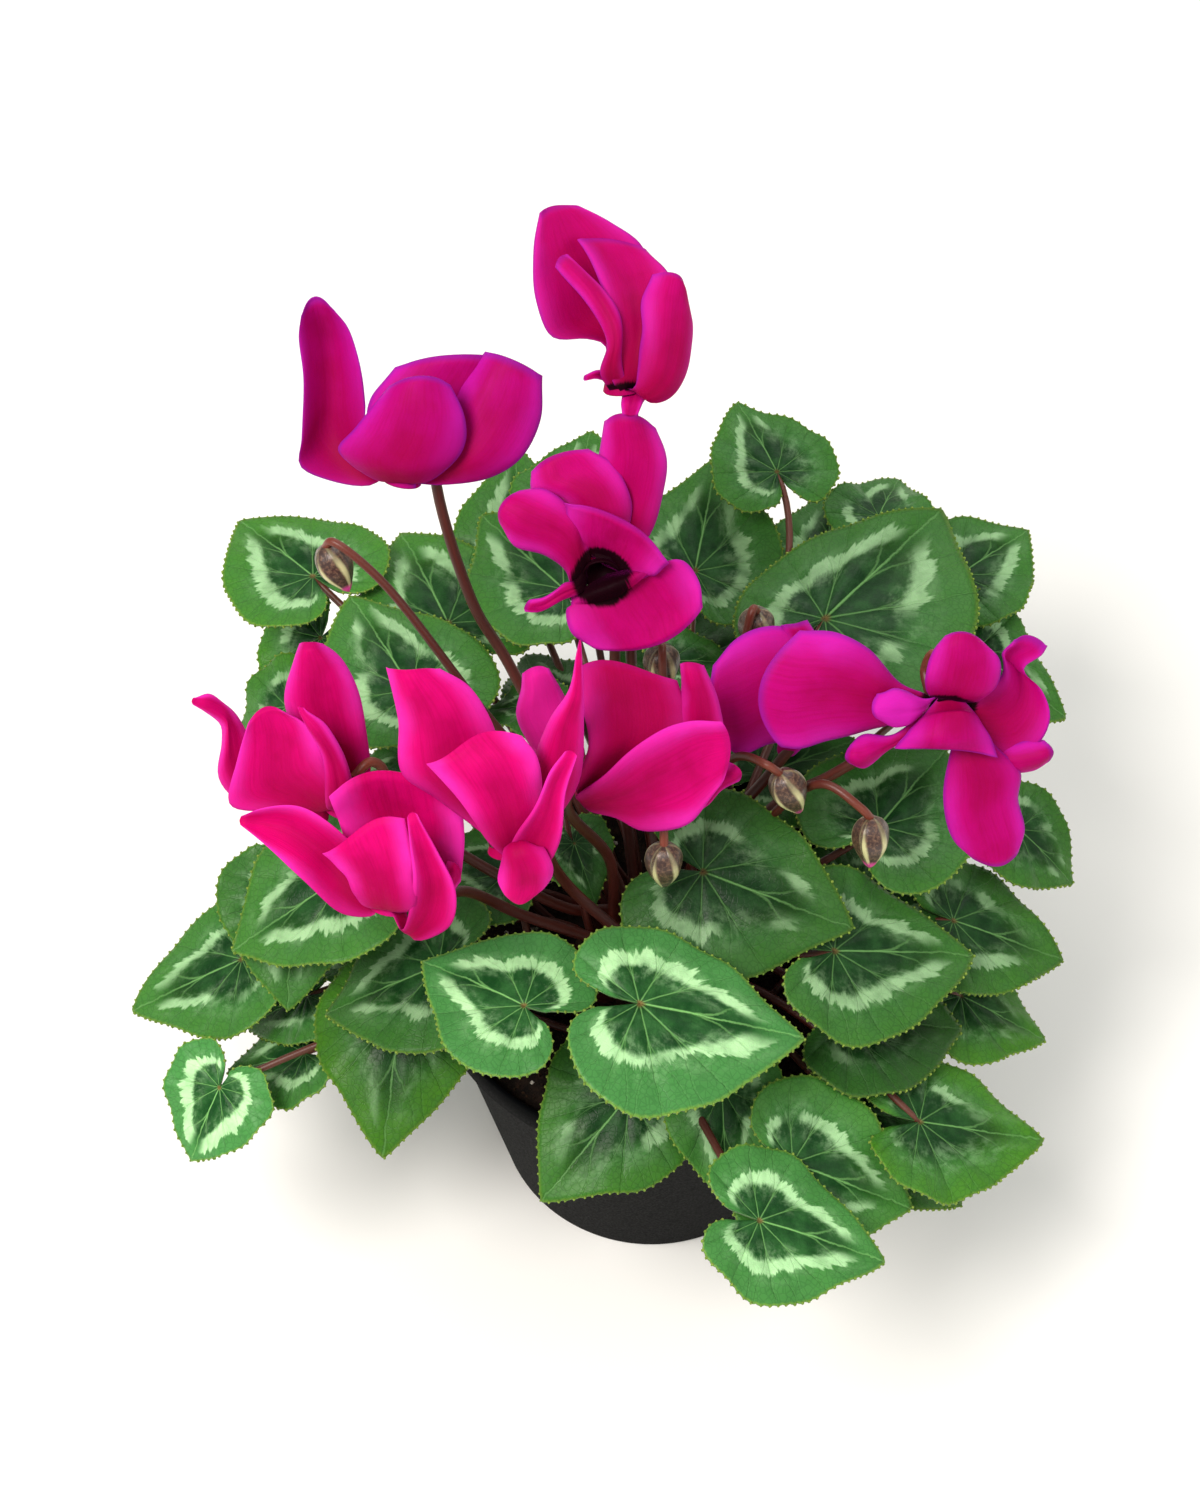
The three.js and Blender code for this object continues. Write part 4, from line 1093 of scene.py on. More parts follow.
@dataclass
class Foliage:
    """All the leaves: blades with toothed margins, and the petioles that carry them.

    Order counts the leaves as they are made, and gives each its own unevenness.
    """

    finishes: Finishes
    rings: int = 15
    columns: int = 300
    blade_mm: float = 0.75
    tooth_mm: float = 0.34
    tooth_pitch_mm: float = 2.2
    quilt_mm: float = 0.75
    petiole_mm: float = 1.15
    petiole_rise_mm: float = 21.0
    petiole_steps: int = 28
    petiole_sides: int = 12
    own_turn: float = 2.3
    seed_step: float = 0.37
    order: int = 0

    def build(self) -> None:
        """Make every leaf piece, and the young leaves deep in the crown, which stand for no CAD node."""
        beads = MarginBeads(self.finishes.tooth)
        for table, ring in ((INNER_LEAVES, INNER_PETIOLE_RING), (OUTER_LEAVES, OUTER_PETIOLE_RING)):
            seats = deal_seats([leaves[0].hilum for leaves in table.values()], ring)
            for (node, leaves), seat in zip(table.items(), seats):
                names = (node + "_blade", node + "_petiole")
                self._pieces(beads, names, leaves, [seat] * len(leaves), node)
        seats = deal_seats([leaf.hilum for leaf in YOUNG_LEAVES], YOUNG_PETIOLE_RING)
        self._pieces(beads, ("young_leaves_blades", "young_leaves_petioles"), YOUNG_LEAVES, seats)

    def _pieces(
        self,
        beads: MarginBeads,
        names: tuple[str, str],
        leaves: Sequence[Leaf],
        seats: Sequence[Seat],
        *nodes: str,
    ) -> None:
        """Make one piece of blades and one of petioles.

        Args:
            beads: What sets the margins' beads.
            names: Names of the two pieces.
            leaves: The leaves.
            seats: The foot of each.
            *nodes: The CAD nodes that both pieces stand for.
        """
        blades, stems = Sketch(), Sketch()
        for leaf, seat in zip(leaves, seats):
            self.order += 1
            self._blade(blades, leaf)
            self._petiole(stems, leaf, seat)
        blade_piece = beads.dress(blades.build(names[0], [self.finishes.leaf]))
        stem_piece = stems.build(names[1], [self.finishes.petiole])
        for piece in (blade_piece, stem_piece):
            settle(piece, "leaf_blade", *nodes)

    @staticmethod
    def _frame(leaf: Leaf) -> tuple[Vector, Vector, Vector]:
        """Find the blade's directions.

        Args:
            leaf: The leaf.

        Returns:
            Along the midrib, to its left and out of its face.
        """
        heading, droop = math.radians(leaf.heading), math.radians(leaf.droop)
        level = math.cos(droop)
        along = Vector((math.cos(heading) * level, math.sin(heading) * level, -math.sin(droop)))
        left = Vector((-math.sin(heading), math.cos(heading), 0))
        left.rotate(Quaternion(along, math.radians(leaf.tilt)))
        return along, left, along.cross(left)

    def _outline(self, leaf: Leaf, degrees: Array) -> Array:
        """Find the heart outline of a blade, slightly uneven as it grew.

        Args:
            leaf: The leaf.
            degrees: Directions from the midrib.

        Returns:
            How far the margin is from the hilum in each direction, in millimetres.
        """
        angle, own = np.radians(degrees), self.own_turn * self.order
        uneven = np.ones_like(angle)
        for share, waves, turn in ((0.028, 2, 1.0), (0.016, 5, 1.7), (0.01, 9, 1.0)):
            uneven += share * np.sin(waves * angle + turn * own)
        return leaf.length * rounded_table(BLADE_OUTLINE, np.abs(degrees)) * uneven

    def _teeth(self, outline: Array, angle: Array) -> Array:
        """Count the teeth that lie before each point of a margin.

        Args:
            outline: Distances from the hilum.
            angle: Their directions in radians.

        Returns:
            The counts, with their fractions.
        """
        steps = np.hypot(np.diff(outline * np.cos(angle)), np.diff(outline * np.sin(angle)))
        arc = np.concatenate([[0.0], np.cumsum(steps)])
        return arc / arc[-1] * round(arc[-1] / self.tooth_pitch_mm)

    def _relief(self, leaf: Leaf, x: Array, y: Array, share: Array, degrees: Array) -> Array:
        """Find how high a blade stands over its flat heart: its arch, fold, waves, curl and quilting.

        Args:
            leaf: The leaf.
            x: Places along the midrib, rings by columns.
            y: Places beside it, alike.
            share: Share of the way to the margin, one for each ring in a column.
            degrees: Direction from the midrib, one for each column.

        Returns:
            Heights in millimetres, rings by columns.
        """
        angle, own = np.radians(degrees), self.own_turn * self.order
        sector = sectors(degrees)
        between, halves = (np.abs(np.sin(turns * math.pi * sector)) for turns in (1, 2))
        curled = np.exp(-(((degrees - leaf.curl_at) / CURL_REACH) ** 2))
        scale = leaf.length / USUAL_LENGTH
        risen = smooth(share, 0.0, 0.45) * smooth(share, 1.04, 0.7)
        height = -leaf.arch * ((x / leaf.length) ** 2 + 1.3 * (y / leaf.length) ** 2)
        height += leaf.fold * np.abs(y) / leaf.length
        height += leaf.wave * share**2 * np.sin(3 * angle + own)
        height += 0.6 * leaf.wave * share**4 * np.sin(8 * angle + 1.3 * own)
        height += leaf.curl * smooth(share, 0.35, 1.0) ** 2 * curled
        height += self.quilt_mm * scale * (between - 0.55) * risen
        height += 0.45 * self.quilt_mm * scale * (halves - 0.5) * risen * smooth(share, 0.35, 0.7)
        height += 0.25 * scale * np.sin(5.0 * sector + self.order) * smooth(share, 0.7, 1.0)
        return height

    def _blade(self, sketch: Sketch, leaf: Leaf) -> None:
        """Add one blade: smooth heart outline, small teeth, sunk veins and quilting between them.

        Args:
            sketch: Where it goes.
            leaf: The leaf.
        """
        along, left, face = (np.array(v) for v in self._frame(leaf))
        degrees = np.linspace(VEIN_ANGLES[0], VEIN_ANGLES[-1], self.columns)
        angle = np.radians(degrees)
        outline = self._outline(leaf, degrees)
        phase = self._teeth(outline, angle)
        tooth = self.tooth_mm * (np.abs(np.sin(math.pi * phase)) ** 0.7 - 0.6)
        share = (np.linspace(0.0, 1.0, self.rings) ** 0.8)[:, None]
        share[0] = 0.008
        radius = outline * share + tooth * smooth(share, 0.86, 1.0)
        x = radius * np.cos(angle)
        y = radius * np.sin(angle) * leaf.spread * (1 - leaf.lean * np.sign(degrees))
        height = self._relief(leaf, x, y, share, degrees)
        surface = x[..., None] * along + y[..., None] * left + height[..., None] * face
        surface = (surface + np.array(leaf.hilum)) * MM
        thickness = (self.blade_mm * (1 - 0.4 * share))[..., None] * MM
        uv = np.stack(np.broadcast_arrays(sectors(degrees), share), axis=-1)
        # The point of the margin that is nearest to the middle of each tooth takes its bead.
        off_tip = np.abs(phase - np.floor(phase) - 0.5)
        tips = np.zeros_like(x)
        tips[-1] = (off_tip <= np.roll(off_tip, 1)) & (off_tip < np.roll(off_tip, -1)) & (off_tip < 0.3)
        marks = {"seed": self.order * self.seed_step, "tone": leaf.tone, "band": leaf.band}
        marks |= {"silver": leaf.silver, "warm": leaf.warm, "tip": tips}
        sketch.slab(surface, surface - thickness * face, uv, marks)

    def _petiole(self, sketch: Sketch, leaf: Leaf, seat: Seat) -> None:
        """Add the petiole from its seat to the hilum.

        Args:
            sketch: Where it goes.
            leaf: The leaf it carries.
            seat: Its foot.
        """
        face = self._frame(leaf)[2]
        hilum = metres(leaf.hilum) - face * (0.6 * self.blade_mm * MM)
        out = Vector((hilum.x - seat.foot.x, hilum.y - seat.foot.y, 0))
        span = out.length
        out.normalize()
        last = hilum - out * (0.3 * span)
        last += Vector((-out.y, out.x, 0)) * (leaf.sway * MM)
        last.z -= leaf.lift * MM
        ends = (seat.foot, seat.foot + seat.normal * (self.petiole_rise_mm * MM), last, hilum)
        steps = self.petiole_steps
        path = [bezier(ends, k / steps) for k in range(steps + 1)]
        slim = 0.8 + 0.2 * min(leaf.length / 36, 1.0)
        radii = [self.petiole_mm * MM * slim * (1.12 - 0.3 * k / steps) for k in range(steps + 1)]
        radii[-1] *= 0.5
        sketch.rod(path, radii, self.petiole_sides, {"seed": self.order * self.seed_step})


@dataclass
class MarginBeads:
    """Sets a small callus bead on every tooth tip, by Geometry Nodes."""

    finish: Material
    bead_mm: float = 0.33
    tree: NodeTree | None = None

    def _grow(self) -> NodeTree:
        """Build the tree once.

        Returns:
            The tree.
        """
        tree = bpy.data.node_groups.new("leaf_margin_beads", "GeometryNodeTree")
        tree.interface.new_socket("Geometry", in_out="INPUT", socket_type="NodeSocketGeometry")
        tree.interface.new_socket("Bead radius", in_out="INPUT", socket_type="NodeSocketFloat")
        tree.interface.new_socket("Seed", in_out="INPUT", socket_type="NodeSocketInt")
        tree.interface.new_socket("Geometry", in_out="OUTPUT", socket_type="NodeSocketGeometry")
        blade, radius, seed = (add(tree, "NodeGroupInput", out=k) for k in range(3))
        tip = add(tree, "GeometryNodeInputNamedAttribute", ("tip",), data_type="FLOAT")
        chosen = add(tree, "FunctionNodeCompare", (tip, 0.9), operation="GREATER_THAN")
        points = add(tree, "GeometryNodeMeshToPoints", (blade, chosen))
        bead = add(tree, "GeometryNodeMeshIcoSphere", (radius, 1))
        size = add(
            tree, "FunctionNodeRandomValue", {2: 0.75, 3: 1.25, "Seed": seed}, out=1, data_type="FLOAT"
        )
        placed = add(
            tree, "GeometryNodeInstanceOnPoints", {"Points": points, "Instance": bead, "Scale": size}
        )
        return close_tree(tree, placed, self.finish, blade)

    def dress(self, piece: Piece) -> Piece:
        """Add the beads to a blade piece.

        Args:
            piece: The blade piece.

        Returns:
            The same object with a plain mesh.
        """
        self.tree = self.tree or self._grow()
        piece.data.materials.append(self.finish)
        return grow(piece, self.tree, {"Bead radius": self.bead_mm * MM, "Seed": 3})


def close_tree(
    tree: NodeTree, placed: Socket, finish: Material, ground: Socket
) -> NodeTree:
    """End a tree: make its instances real, dress them and join them to what they stand on.

    Args:
        tree: The tree.
        placed: The instances.
        finish: Their material.
        ground: What they stand on.

    Returns:
        The tree.
    """
    real = add(tree, "GeometryNodeRealizeInstances", (placed,))
    dressed = add(tree, "GeometryNodeSetMaterial", {"Geometry": real, "Material": finish})
    joined = add(tree, "GeometryNodeJoinGeometry", (dressed,))
    tree.links.new(ground, joined.node.inputs[0])
    add(tree, "NodeGroupOutput", (joined,))
    return tree


def grow(piece: Piece, tree: NodeTree, values: dict[str, object]) -> Piece:
    """Run a Geometry Nodes tree on a piece and keep its result as a plain mesh.

    Args:
        piece: The piece.
        tree: The tree.
        values: Values of its inputs by name.

    Returns:
        The piece.
    """
    modifier = piece.modifiers.new(tree.name, "NODES")
    modifier.node_group = tree
    for item in tree.interface.items_tree:
        if item.in_out == "INPUT" and item.name in values:
            modifier[item.identifier] = values[item.name]
    depsgraph = bpy.context.evaluated_depsgraph_get()
    made = bpy.data.meshes.new_from_object(piece.evaluated_get(depsgraph))
    piece.modifiers.clear()
    plain = piece.data
    piece.data = made
    bpy.data.meshes.remove(plain)
    return piece


def settle(piece: Piece, slot: str, *nodes: str) -> None:
    """Put a piece on the root body in place of its CAD nodes.

    Args:
        piece: The piece.
        slot: A material slot name; not used.
        *nodes: The CAD nodes that it stands for.
    """
    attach(piece, "root")
    if nodes:
        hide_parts(*nodes)
    LOG.info("%s: %d faces", piece.name, len(piece.data.polygons))


# ------------------------------------------------------------------ blooms

Edge = tuple[Triple, ...]


@dataclass(frozen=True)
class Petal:
    """One petal, drawn by its two edges on their way from the throat to the far end.

    A place on an edge is its column and row in the 1200 by 1500 picture, and then how far in front
    of the mouth it lies, in millimetres. Bulge is how far the middle stands out to the front, in
    millimetres. Arc is how far the far end rounds out, as a share of its width, and skew moves
    that roundness towards the other edge. Pale lightens it all, shaded darkens it all with painted
    shade, as falls on petals deep in a full bloom, and dark lets the eye stain it.
    """

    one: Edge
    other: Edge
    bulge: float = 3.0
    arc: float = 0.15
    skew: float = 0.0
    pale: float = 0.0
    shaded: float = 0.0
    dark: float = 1.0


@dataclass(frozen=True)
class Bloom:
    """One bloom: its mouth, the way it looks, the side its stalk passes on and what that climbs through.

    Hot is how warm its pink is, and eyed how far its dark eye reaches from the mouth, in
    millimetres. A stained rim is as dark as the eye. Upright is how many millimetres nearer to the
    camera its petals come for each that they rise over the mouth in the picture.
    """

    mouth: Triple
    axis: Triple
    side: Triple
    via: tuple[Triple, ...]
    hot: float = 0.5
    eyed: float = 5.0
    rim_stained: bool = False
    upright: float = 0.42

    @property
    def looks(self) -> Vector:
        """The way its mouth looks."""
        return Vector(self.axis).normalized()

    @property
    def aside(self) -> Vector:
        """The side its stalk passes on, square to the way its mouth looks."""
        side = Vector(self.side)
        return (side - self.looks * side.dot(self.looks)).normalized()


PETALS: dict[str, tuple[Petal, ...]] = {
    "back_left": (
        Petal(
            (
                (372, 485, -2), (330, 481, -2), (300, 466, -1), (302, 440, 0), (304, 380, 0), (299, 338, 1),
                (301, 317, 2),
            ),
            ((382, 466, -1), (364, 440, -2), (366, 405, -3), (359, 360, -3), (348, 328, -1), (334, 312, 1)),
            bulge=-7, arc=0.22,
        ),
        Petal(
            ((395, 460, -2), (368, 425, -2), (370, 400, -3), (395, 369, -4)),
            ((450, 450, -4), (476, 410, -5), (492, 378, -6), (500, 358, -6)),
            arc=0.12, skew=-0.3,
        ),
        Petal(
            ((425, 470, -1), (445, 430, -2), (457, 390, -4), (484, 352, -5)),
            ((440, 485, 2), (490, 478, 2), (521, 458, 2), (540, 420, 0), (542, 376, -1)),
            bulge=5, arc=0.1,
        ),
        Petal(
            ((375, 480, 4), (338, 450, 4), (355, 428, 5), (388, 388, 6)),
            ((432, 480, 6), (462, 452, 8), (465, 420, 8), (450, 386, 7)),
            bulge=5, arc=0.24,
        ),
    ),
    "top": (
        Petal(
            (
                (608, 372, 0), (605, 345, 0), (588, 339, 0), (552, 337, 1), (537, 300, 2), (535, 250, 2),
                (541, 212, 1),
            ),
            ((632, 330, -3), (642, 290, -4), (645, 250, -5), (612, 222, -4), (580, 205, -3)),
            bulge=-3, arc=0.12, shaded=0.25,
        ),
        Petal(
            ((612, 380, 7), (612, 330, 9), (598, 275, 3), (578, 238, 0)),
            ((652, 375, 7), (668, 320, 8), (670, 275, -1), (648, 246, -4)),
            bulge=-2, arc=0.12, shaded=0.3,
        ),
        Petal(
            ((600, 372, 9), (607, 345, 10), (594, 314, 8), (556, 266, 7)),
            ((622, 362, 9), (621, 318, 9), (602, 286, 6), (568, 254, 5)),
            bulge=2, arc=0.2, shaded=0.15,
        ),
        Petal(
            ((636, 385, 9), (641, 340, 9), (644, 300, 8), (657, 274, 6)),
            ((652, 403, 5), (674, 396, 4), (689, 368, 3), (693, 335, 2), (686, 302, 1)),
            bulge=4, arc=0.25, shaded=0.2,
        ),
        Petal(
            ((624, 390, 2), (621, 403, 4), (622, 414, 4)),
            ((646, 392, 2), (642, 405, 4), (638, 415, 4)),
            bulge=1, dark=0.0,
        ),
        Petal(
            ((608, 384, 2), (596, 379, 5), (585, 381, 6)),
            ((610, 374, 2), (598, 370, 5), (586, 375, 6)),
            bulge=1, dark=0.2,
        ),
    ),
    "back_centre": (
        Petal(
            ((592, 535, -5), (590, 500, -7), (599, 455, -6), (604, 424, -5)),
            ((650, 535, -5), (662, 500, -7), (667, 460, -6), (656, 430, -5)),
            arc=0.34,
        ),
        Petal(
            ((590, 540, -2), (560, 500, -2), (532, 492, -3), (531, 472, -4)),
            ((625, 540, -2), (632, 505, -2), (614, 465, -4), (588, 450, -4)),
            arc=0.14,
        ),
        Petal(
            ((572, 588, 1), (566, 572, 2), (545, 556, 3), (515, 547, 3), (500, 526, 2)),
            ((588, 548, 1), (572, 510, 1), (545, 490, 1), (520, 491, 1)),
            arc=0.25,
        ),
        Petal(
            ((577, 598, 1), (566, 608, 3), (572, 634, 5), (594, 650, 5)),
            ((634, 580, 3), (660, 563, 4), (682, 561, 4), (699, 582, 4), (703, 608, 4)),
            bulge=-3, arc=0.2,
        ),
        Petal(
            ((582, 550, 0), (568, 528, 3), (563, 506, 6)),
            ((634, 580, 1), (652, 578, 4), (668, 566, 7)),
            bulge=-1, arc=0.17,
        ),
        Petal(
            ((582, 592, 2), (560, 602, 4), (540, 612, 5), (525, 612, 6)),
            ((576, 580, 2), (564, 584, 4), (545, 597, 5), (530, 601, 6)),
            bulge=1,
        ),
    ),
    "half_open": (
        Petal(
            ((822, 680, -6), (792, 650, -6), (782, 627, -5)),
            ((835, 672, -7), (820, 640, -7), (808, 621, -6)),
            arc=0.1,
        ),
        Petal(((812, 716, -8), (785, 704, -16)), ((820, 690, -8), (792, 674, -16)), arc=0.3),
        Petal(((815, 735, -8), (792, 758, -18)), ((805, 715, -8), (778, 736, -18)), arc=0.3),
        Petal(
            ((812, 738, -3), (770, 745, -3), (737, 755, -2), (722, 742, -2)),
            ((832, 672, -5), (810, 636, -6), (770, 627, -5), (735, 642, -3), (713, 666, -2)),
            bulge=4, arc=0.1,
        ),
    ),
    "right": (
        Petal(
            ((926, 694, -1), (900, 683, -1), (870, 650, -1), (840, 634, 0), (800, 632, 1)),
            ((918, 716, 0), (870, 731, 0), (830, 742, 1), (800, 749, 2), (781, 748, 2)),
            arc=0.26,
        ),
        Petal(
            ((930, 696, 3), (925, 678, 6), (935, 650, 6), (946, 636, 5)),
            ((974, 702, 3), (998, 686, 6), (1000, 660, 6), (984, 642, 5)),
            bulge=2, arc=0.2,
        ),
        Petal(
            ((974, 703, 1), (985, 690, 1), (1003, 676, 1), (1004, 652, 1), (1014, 641, 2)),
            (
                (985, 745, 1), (1020, 760, 1), (1042, 740, 1), (1050, 715, 0), (1042, 690, 0), (1024, 670, 0),
                (1042, 658, 2), (1047, 650, 3),
            ),
            bulge=-3, arc=0.1,
        ),
        Petal(
            ((1000, 745, -1), (1028, 741, 0), (1044, 742, 1)),
            ((1003, 770, -1), (1030, 774, 0), (1048, 763, 1)),
            arc=0.35,
        ),
        Petal(
            ((955, 735, 2), (949, 760, 3), (943, 800, 4), (953, 840, 5), (970, 858, 5)),
            ((995, 745, 2), (1021, 772, 2), (1019, 800, 3), (1025, 830, 4), (1019, 853, 5)),
            arc=0.2,
        ),
        Petal(
            ((915, 719, 2), (890, 736, 3), (866, 736, 4), (851, 745, 5)),
            ((914, 735, 2), (886, 752, 3), (866, 769, 4), (852, 765, 5)),
            arc=0.35, dark=0.0,
        ),
        Petal(
            ((926, 699, 3), (897, 689, 5), (878, 695, 6)),
            ((922, 715, 3), (897, 728, 5), (879, 721, 6)),
            arc=0.3, pale=0.8, dark=0.0,
        ),
        Petal(
            ((926, 712, 4), (911, 728, 7), (895, 750, 8)),
            ((976, 714, 4), (990, 735, 7), (998, 758, 7)),
            bulge=5, arc=-0.08, dark=0.0,
        ),
    ),
    "centre": (
        Petal(
            ((562, 782, -6), (530, 747, -7), (516, 715, -8), (521, 690, -8), (522, 675, -8)),
            ((588, 772, -6), (580, 730, -7), (564, 697, -8), (549, 669, -8)),
            arc=0.25, pale=0.35,
        ),
        Petal(
            ((576, 790, 10), (588, 748, 13), (584, 700, 5), (582, 666, -1)),
            ((634, 790, 4), (685, 750, 1), (692, 722, -3), (678, 680, -4)),
            bulge=-2, skew=-0.8, arc=0.1, shaded=0.65,
        ),
        Petal(
            ((650, 762, -4), (674, 727, -4), (681, 692, -4), (680, 664, -3)),
            ((690, 772, -4), (722, 748, -4), (719, 703, -4), (704, 667, -3)),
            arc=0.2, shaded=0.3,
        ),
        Petal(
            ((690, 800, -2), (714, 771, -3), (727, 763, -3)),
            ((700, 810, -2), (722, 792, -3), (739, 783, -3)),
            arc=0.35,
        ),
        Petal(
            ((585, 808, 4), (612, 819, 6), (645, 833, 6), (690, 823, 6), (722, 786, 5)),
            ((576, 796, 10), (606, 775, 13), (645, 742, 10), (690, 722, 5), (722, 722, 3)),
            bulge=-1, arc=0.16,
        ),
    ),
    "front_centre": (
        Petal(
            ((488, 838, -4), (440, 802, -5), (402, 775, -5), (398, 720, -4), (386, 670, -3)),
            ((508, 820, -5), (503, 770, -6), (494, 728, -6), (472, 692, -5), (440, 670, -4)),
            bulge=4, arc=0.1,
        ),
        Petal(
            ((520, 832, -3), (530, 775, -4), (550, 718, -3), (569, 690, -2), (576, 655, -1), (579, 642, 0)),
            ((560, 815, -3), (580, 780, -4), (584, 720, -3), (583, 680, -2), (582, 655, -1), (581, 642, 0)),
                        arc=0.3,
        ),
        Petal(
            ((488, 842, 6), (466, 810, 8), (442, 782, 7), (426, 764, 6)),
            ((540, 838, 5), (543, 792, 5), (537, 757, 5), (522, 736, 3)),
            bulge=1, arc=0.12, skew=1.3,
        ),
        Petal(
            ((503, 850, 9), (500, 866, 10), (498, 884, 9), (508, 897, 8)),
            ((540, 846, 11), (552, 862, 11), (551, 880, 9), (532, 898, 8)),
            arc=0.2,
        ),
        Petal(
            ((512, 842, 10), (536, 806, 11), (549, 774, 10), (565, 752, 8)),
            ((540, 872, 8), (560, 842, 10), (566, 796, 10), (577, 756, 8)),
            bulge=-2, arc=0.2,
        ),
    ),
    "far_left": (
        Petal(
            ((328, 785, -5), (300, 742, -6), (284, 702, -6), (293, 662, -6), (299, 645, -6)),
            ((368, 792, -5), (367, 735, -6), (357, 688, -6), (342, 662, -6), (322, 645, -6)),
            arc=0.2,
        ),
        Petal(
            (
                (300, 806, -4), (240, 802, -2), (219, 780, -2), (222, 742, -2), (222, 726, -1), (206, 713, 2),
                (193, 705, 4),
            ),
            ((290, 785, -4), (250, 737, -4), (238, 717, -3), (223, 702, -1), (209, 694, 2), (196, 698, 4)),
            bulge=2, arc=0.2,
        ),
        Petal(
            ((326, 824, 0), (300, 824, 1), (276, 816, 1)),
            ((330, 800, 1), (305, 798, 1), (280, 802, 1)),
            arc=0.3,
        ),
        Petal(
            ((312, 814, 3), (265, 812, 4), (229, 807, 3), (236, 762, 4), (248, 723, 4)),
            ((338, 790, 8), (322, 752, 8), (304, 724, 6), (284, 714, 5)),
            bulge=-2, arc=0.25,
        ),
        Petal(
            ((326, 806, 8), (322, 757, 9), (306, 727, 8), (297, 708, 7)),
            ((354, 800, 7), (347, 762, 9), (326, 727, 9), (304, 710, 8)),
            bulge=2, arc=0.2,
        ),
    ),
    "front_left": (
        Petal(
            ((352, 855, -3), (337, 818, -2), (329, 798, 0)),
            ((452, 895, -4), (464, 852, -4), (463, 808, -5)),
            bulge=-4, arc=0.22,
        ),
        Petal(((430, 900, -2), (448, 862, -3)), ((450, 895, -2), (461, 882, -3)), arc=0.3),
        Petal(
            ((372, 916, 2), (343, 915, 4), (300, 877, 5), (262, 843, 3), (240, 825, 0)),
            ((374, 880, 3), (346, 838, 2), (300, 807, 0), (262, 808, -1), (241, 816, -1)),
            bulge=-4, arc=0.3,
        ),
        Petal(
            ((362, 905, 5), (345, 880, 6), (322, 854, 6)),
            ((414, 908, 10), (413, 862, 10), (404, 820, 8)),
            bulge=1, arc=0.1, skew=1.2,
        ),
        Petal(
            ((402, 930, 8), (413, 882, 11), (410, 846, 10), (407, 818, 8)),
            ((414, 940, 6), (448, 930, 8), (456, 893, 9), (438, 852, 9), (417, 815, 8)),
            bulge=-2, arc=0.3,
        ),
    ),
}

BLOOMS: dict[str, Bloom] = {
    "back_left": Bloom(
        (-62, 55, 216), (-0.2, -0.5, -0.85), (0.8, 0.6, 0), ((-37, 41, 160), (-46, 46, 180)),
        hot=0.12,
    ),
    "top": Bloom(
        (-9, 60, 243), (0.1, -0.5, -0.86), (0.5, 0.85, 0), ((-6, 40, 150), (-7, 66, 205), (-6, 72, 228)),
        hot=0.42, eyed=7.0, upright=0.2,
    ),
    "back_centre": Bloom(
        (-14, 39, 200), (0, -0.9, 0.1), (0.2, 0.3, -1), ((-10, 34, 140), (-11, 44, 175)),
        hot=0.45, eyed=8.0, rim_stained=True,
    ),
    "half_open": Bloom(
        (44, 20, 172), (0.8, -0.2, -0.5), (0.3, 0.9, -0.4), ((15, 15, 120), (30, 21, 145)),
        hot=0.2,
    ),
    "right": Bloom(
        (69, 11, 186), (0.1, -0.8, -0.3), (-0.4, 0.6, -0.7), ((29, 13, 138), (44, 9, 160)),
        hot=0.25, eyed=7.0, rim_stained=True,
    ),
    "centre": Bloom(
        (-16, -7, 172), (-0.3, -0.4, -0.85), (-0.6, -0.5, 0), ((-12, -4, 140),),
        hot=0.75, eyed=3.0,
    ),
    "front_centre": Bloom(
        (-36, -26, 178), (0, -0.5, -0.86), (0.8, 0.5, 0), ((-22, -12, 140),),
        hot=0.95, eyed=1.0,
    ),
    "far_left": Bloom(
        (-77, -4, 162), (-0.3, -0.5, -0.8), (0.8, 0.6, 0), ((-22, -1, 112), (-42, 1, 127), (-58, 3, 142)),
        hot=0.85, eyed=1.0,
    ),
    "front_left": Bloom(
        (-65, -30, 160), (-0.2, -0.5, -0.85), (0.9, 0.4, 0), ((-34, -9, 122), (-48, -15, 143)),
        hot=1.0, eyed=1.0,
    ),
}


def facing(place: Vector, axis: Vector) -> Matrix:
    """Find where a turned part stands, from its place and the way its mouth looks."""
    turn = Vector((0, 0, 1)).rotation_difference(axis)
    return Matrix.Translation(place) @ turn.to_matrix().to_4x4()


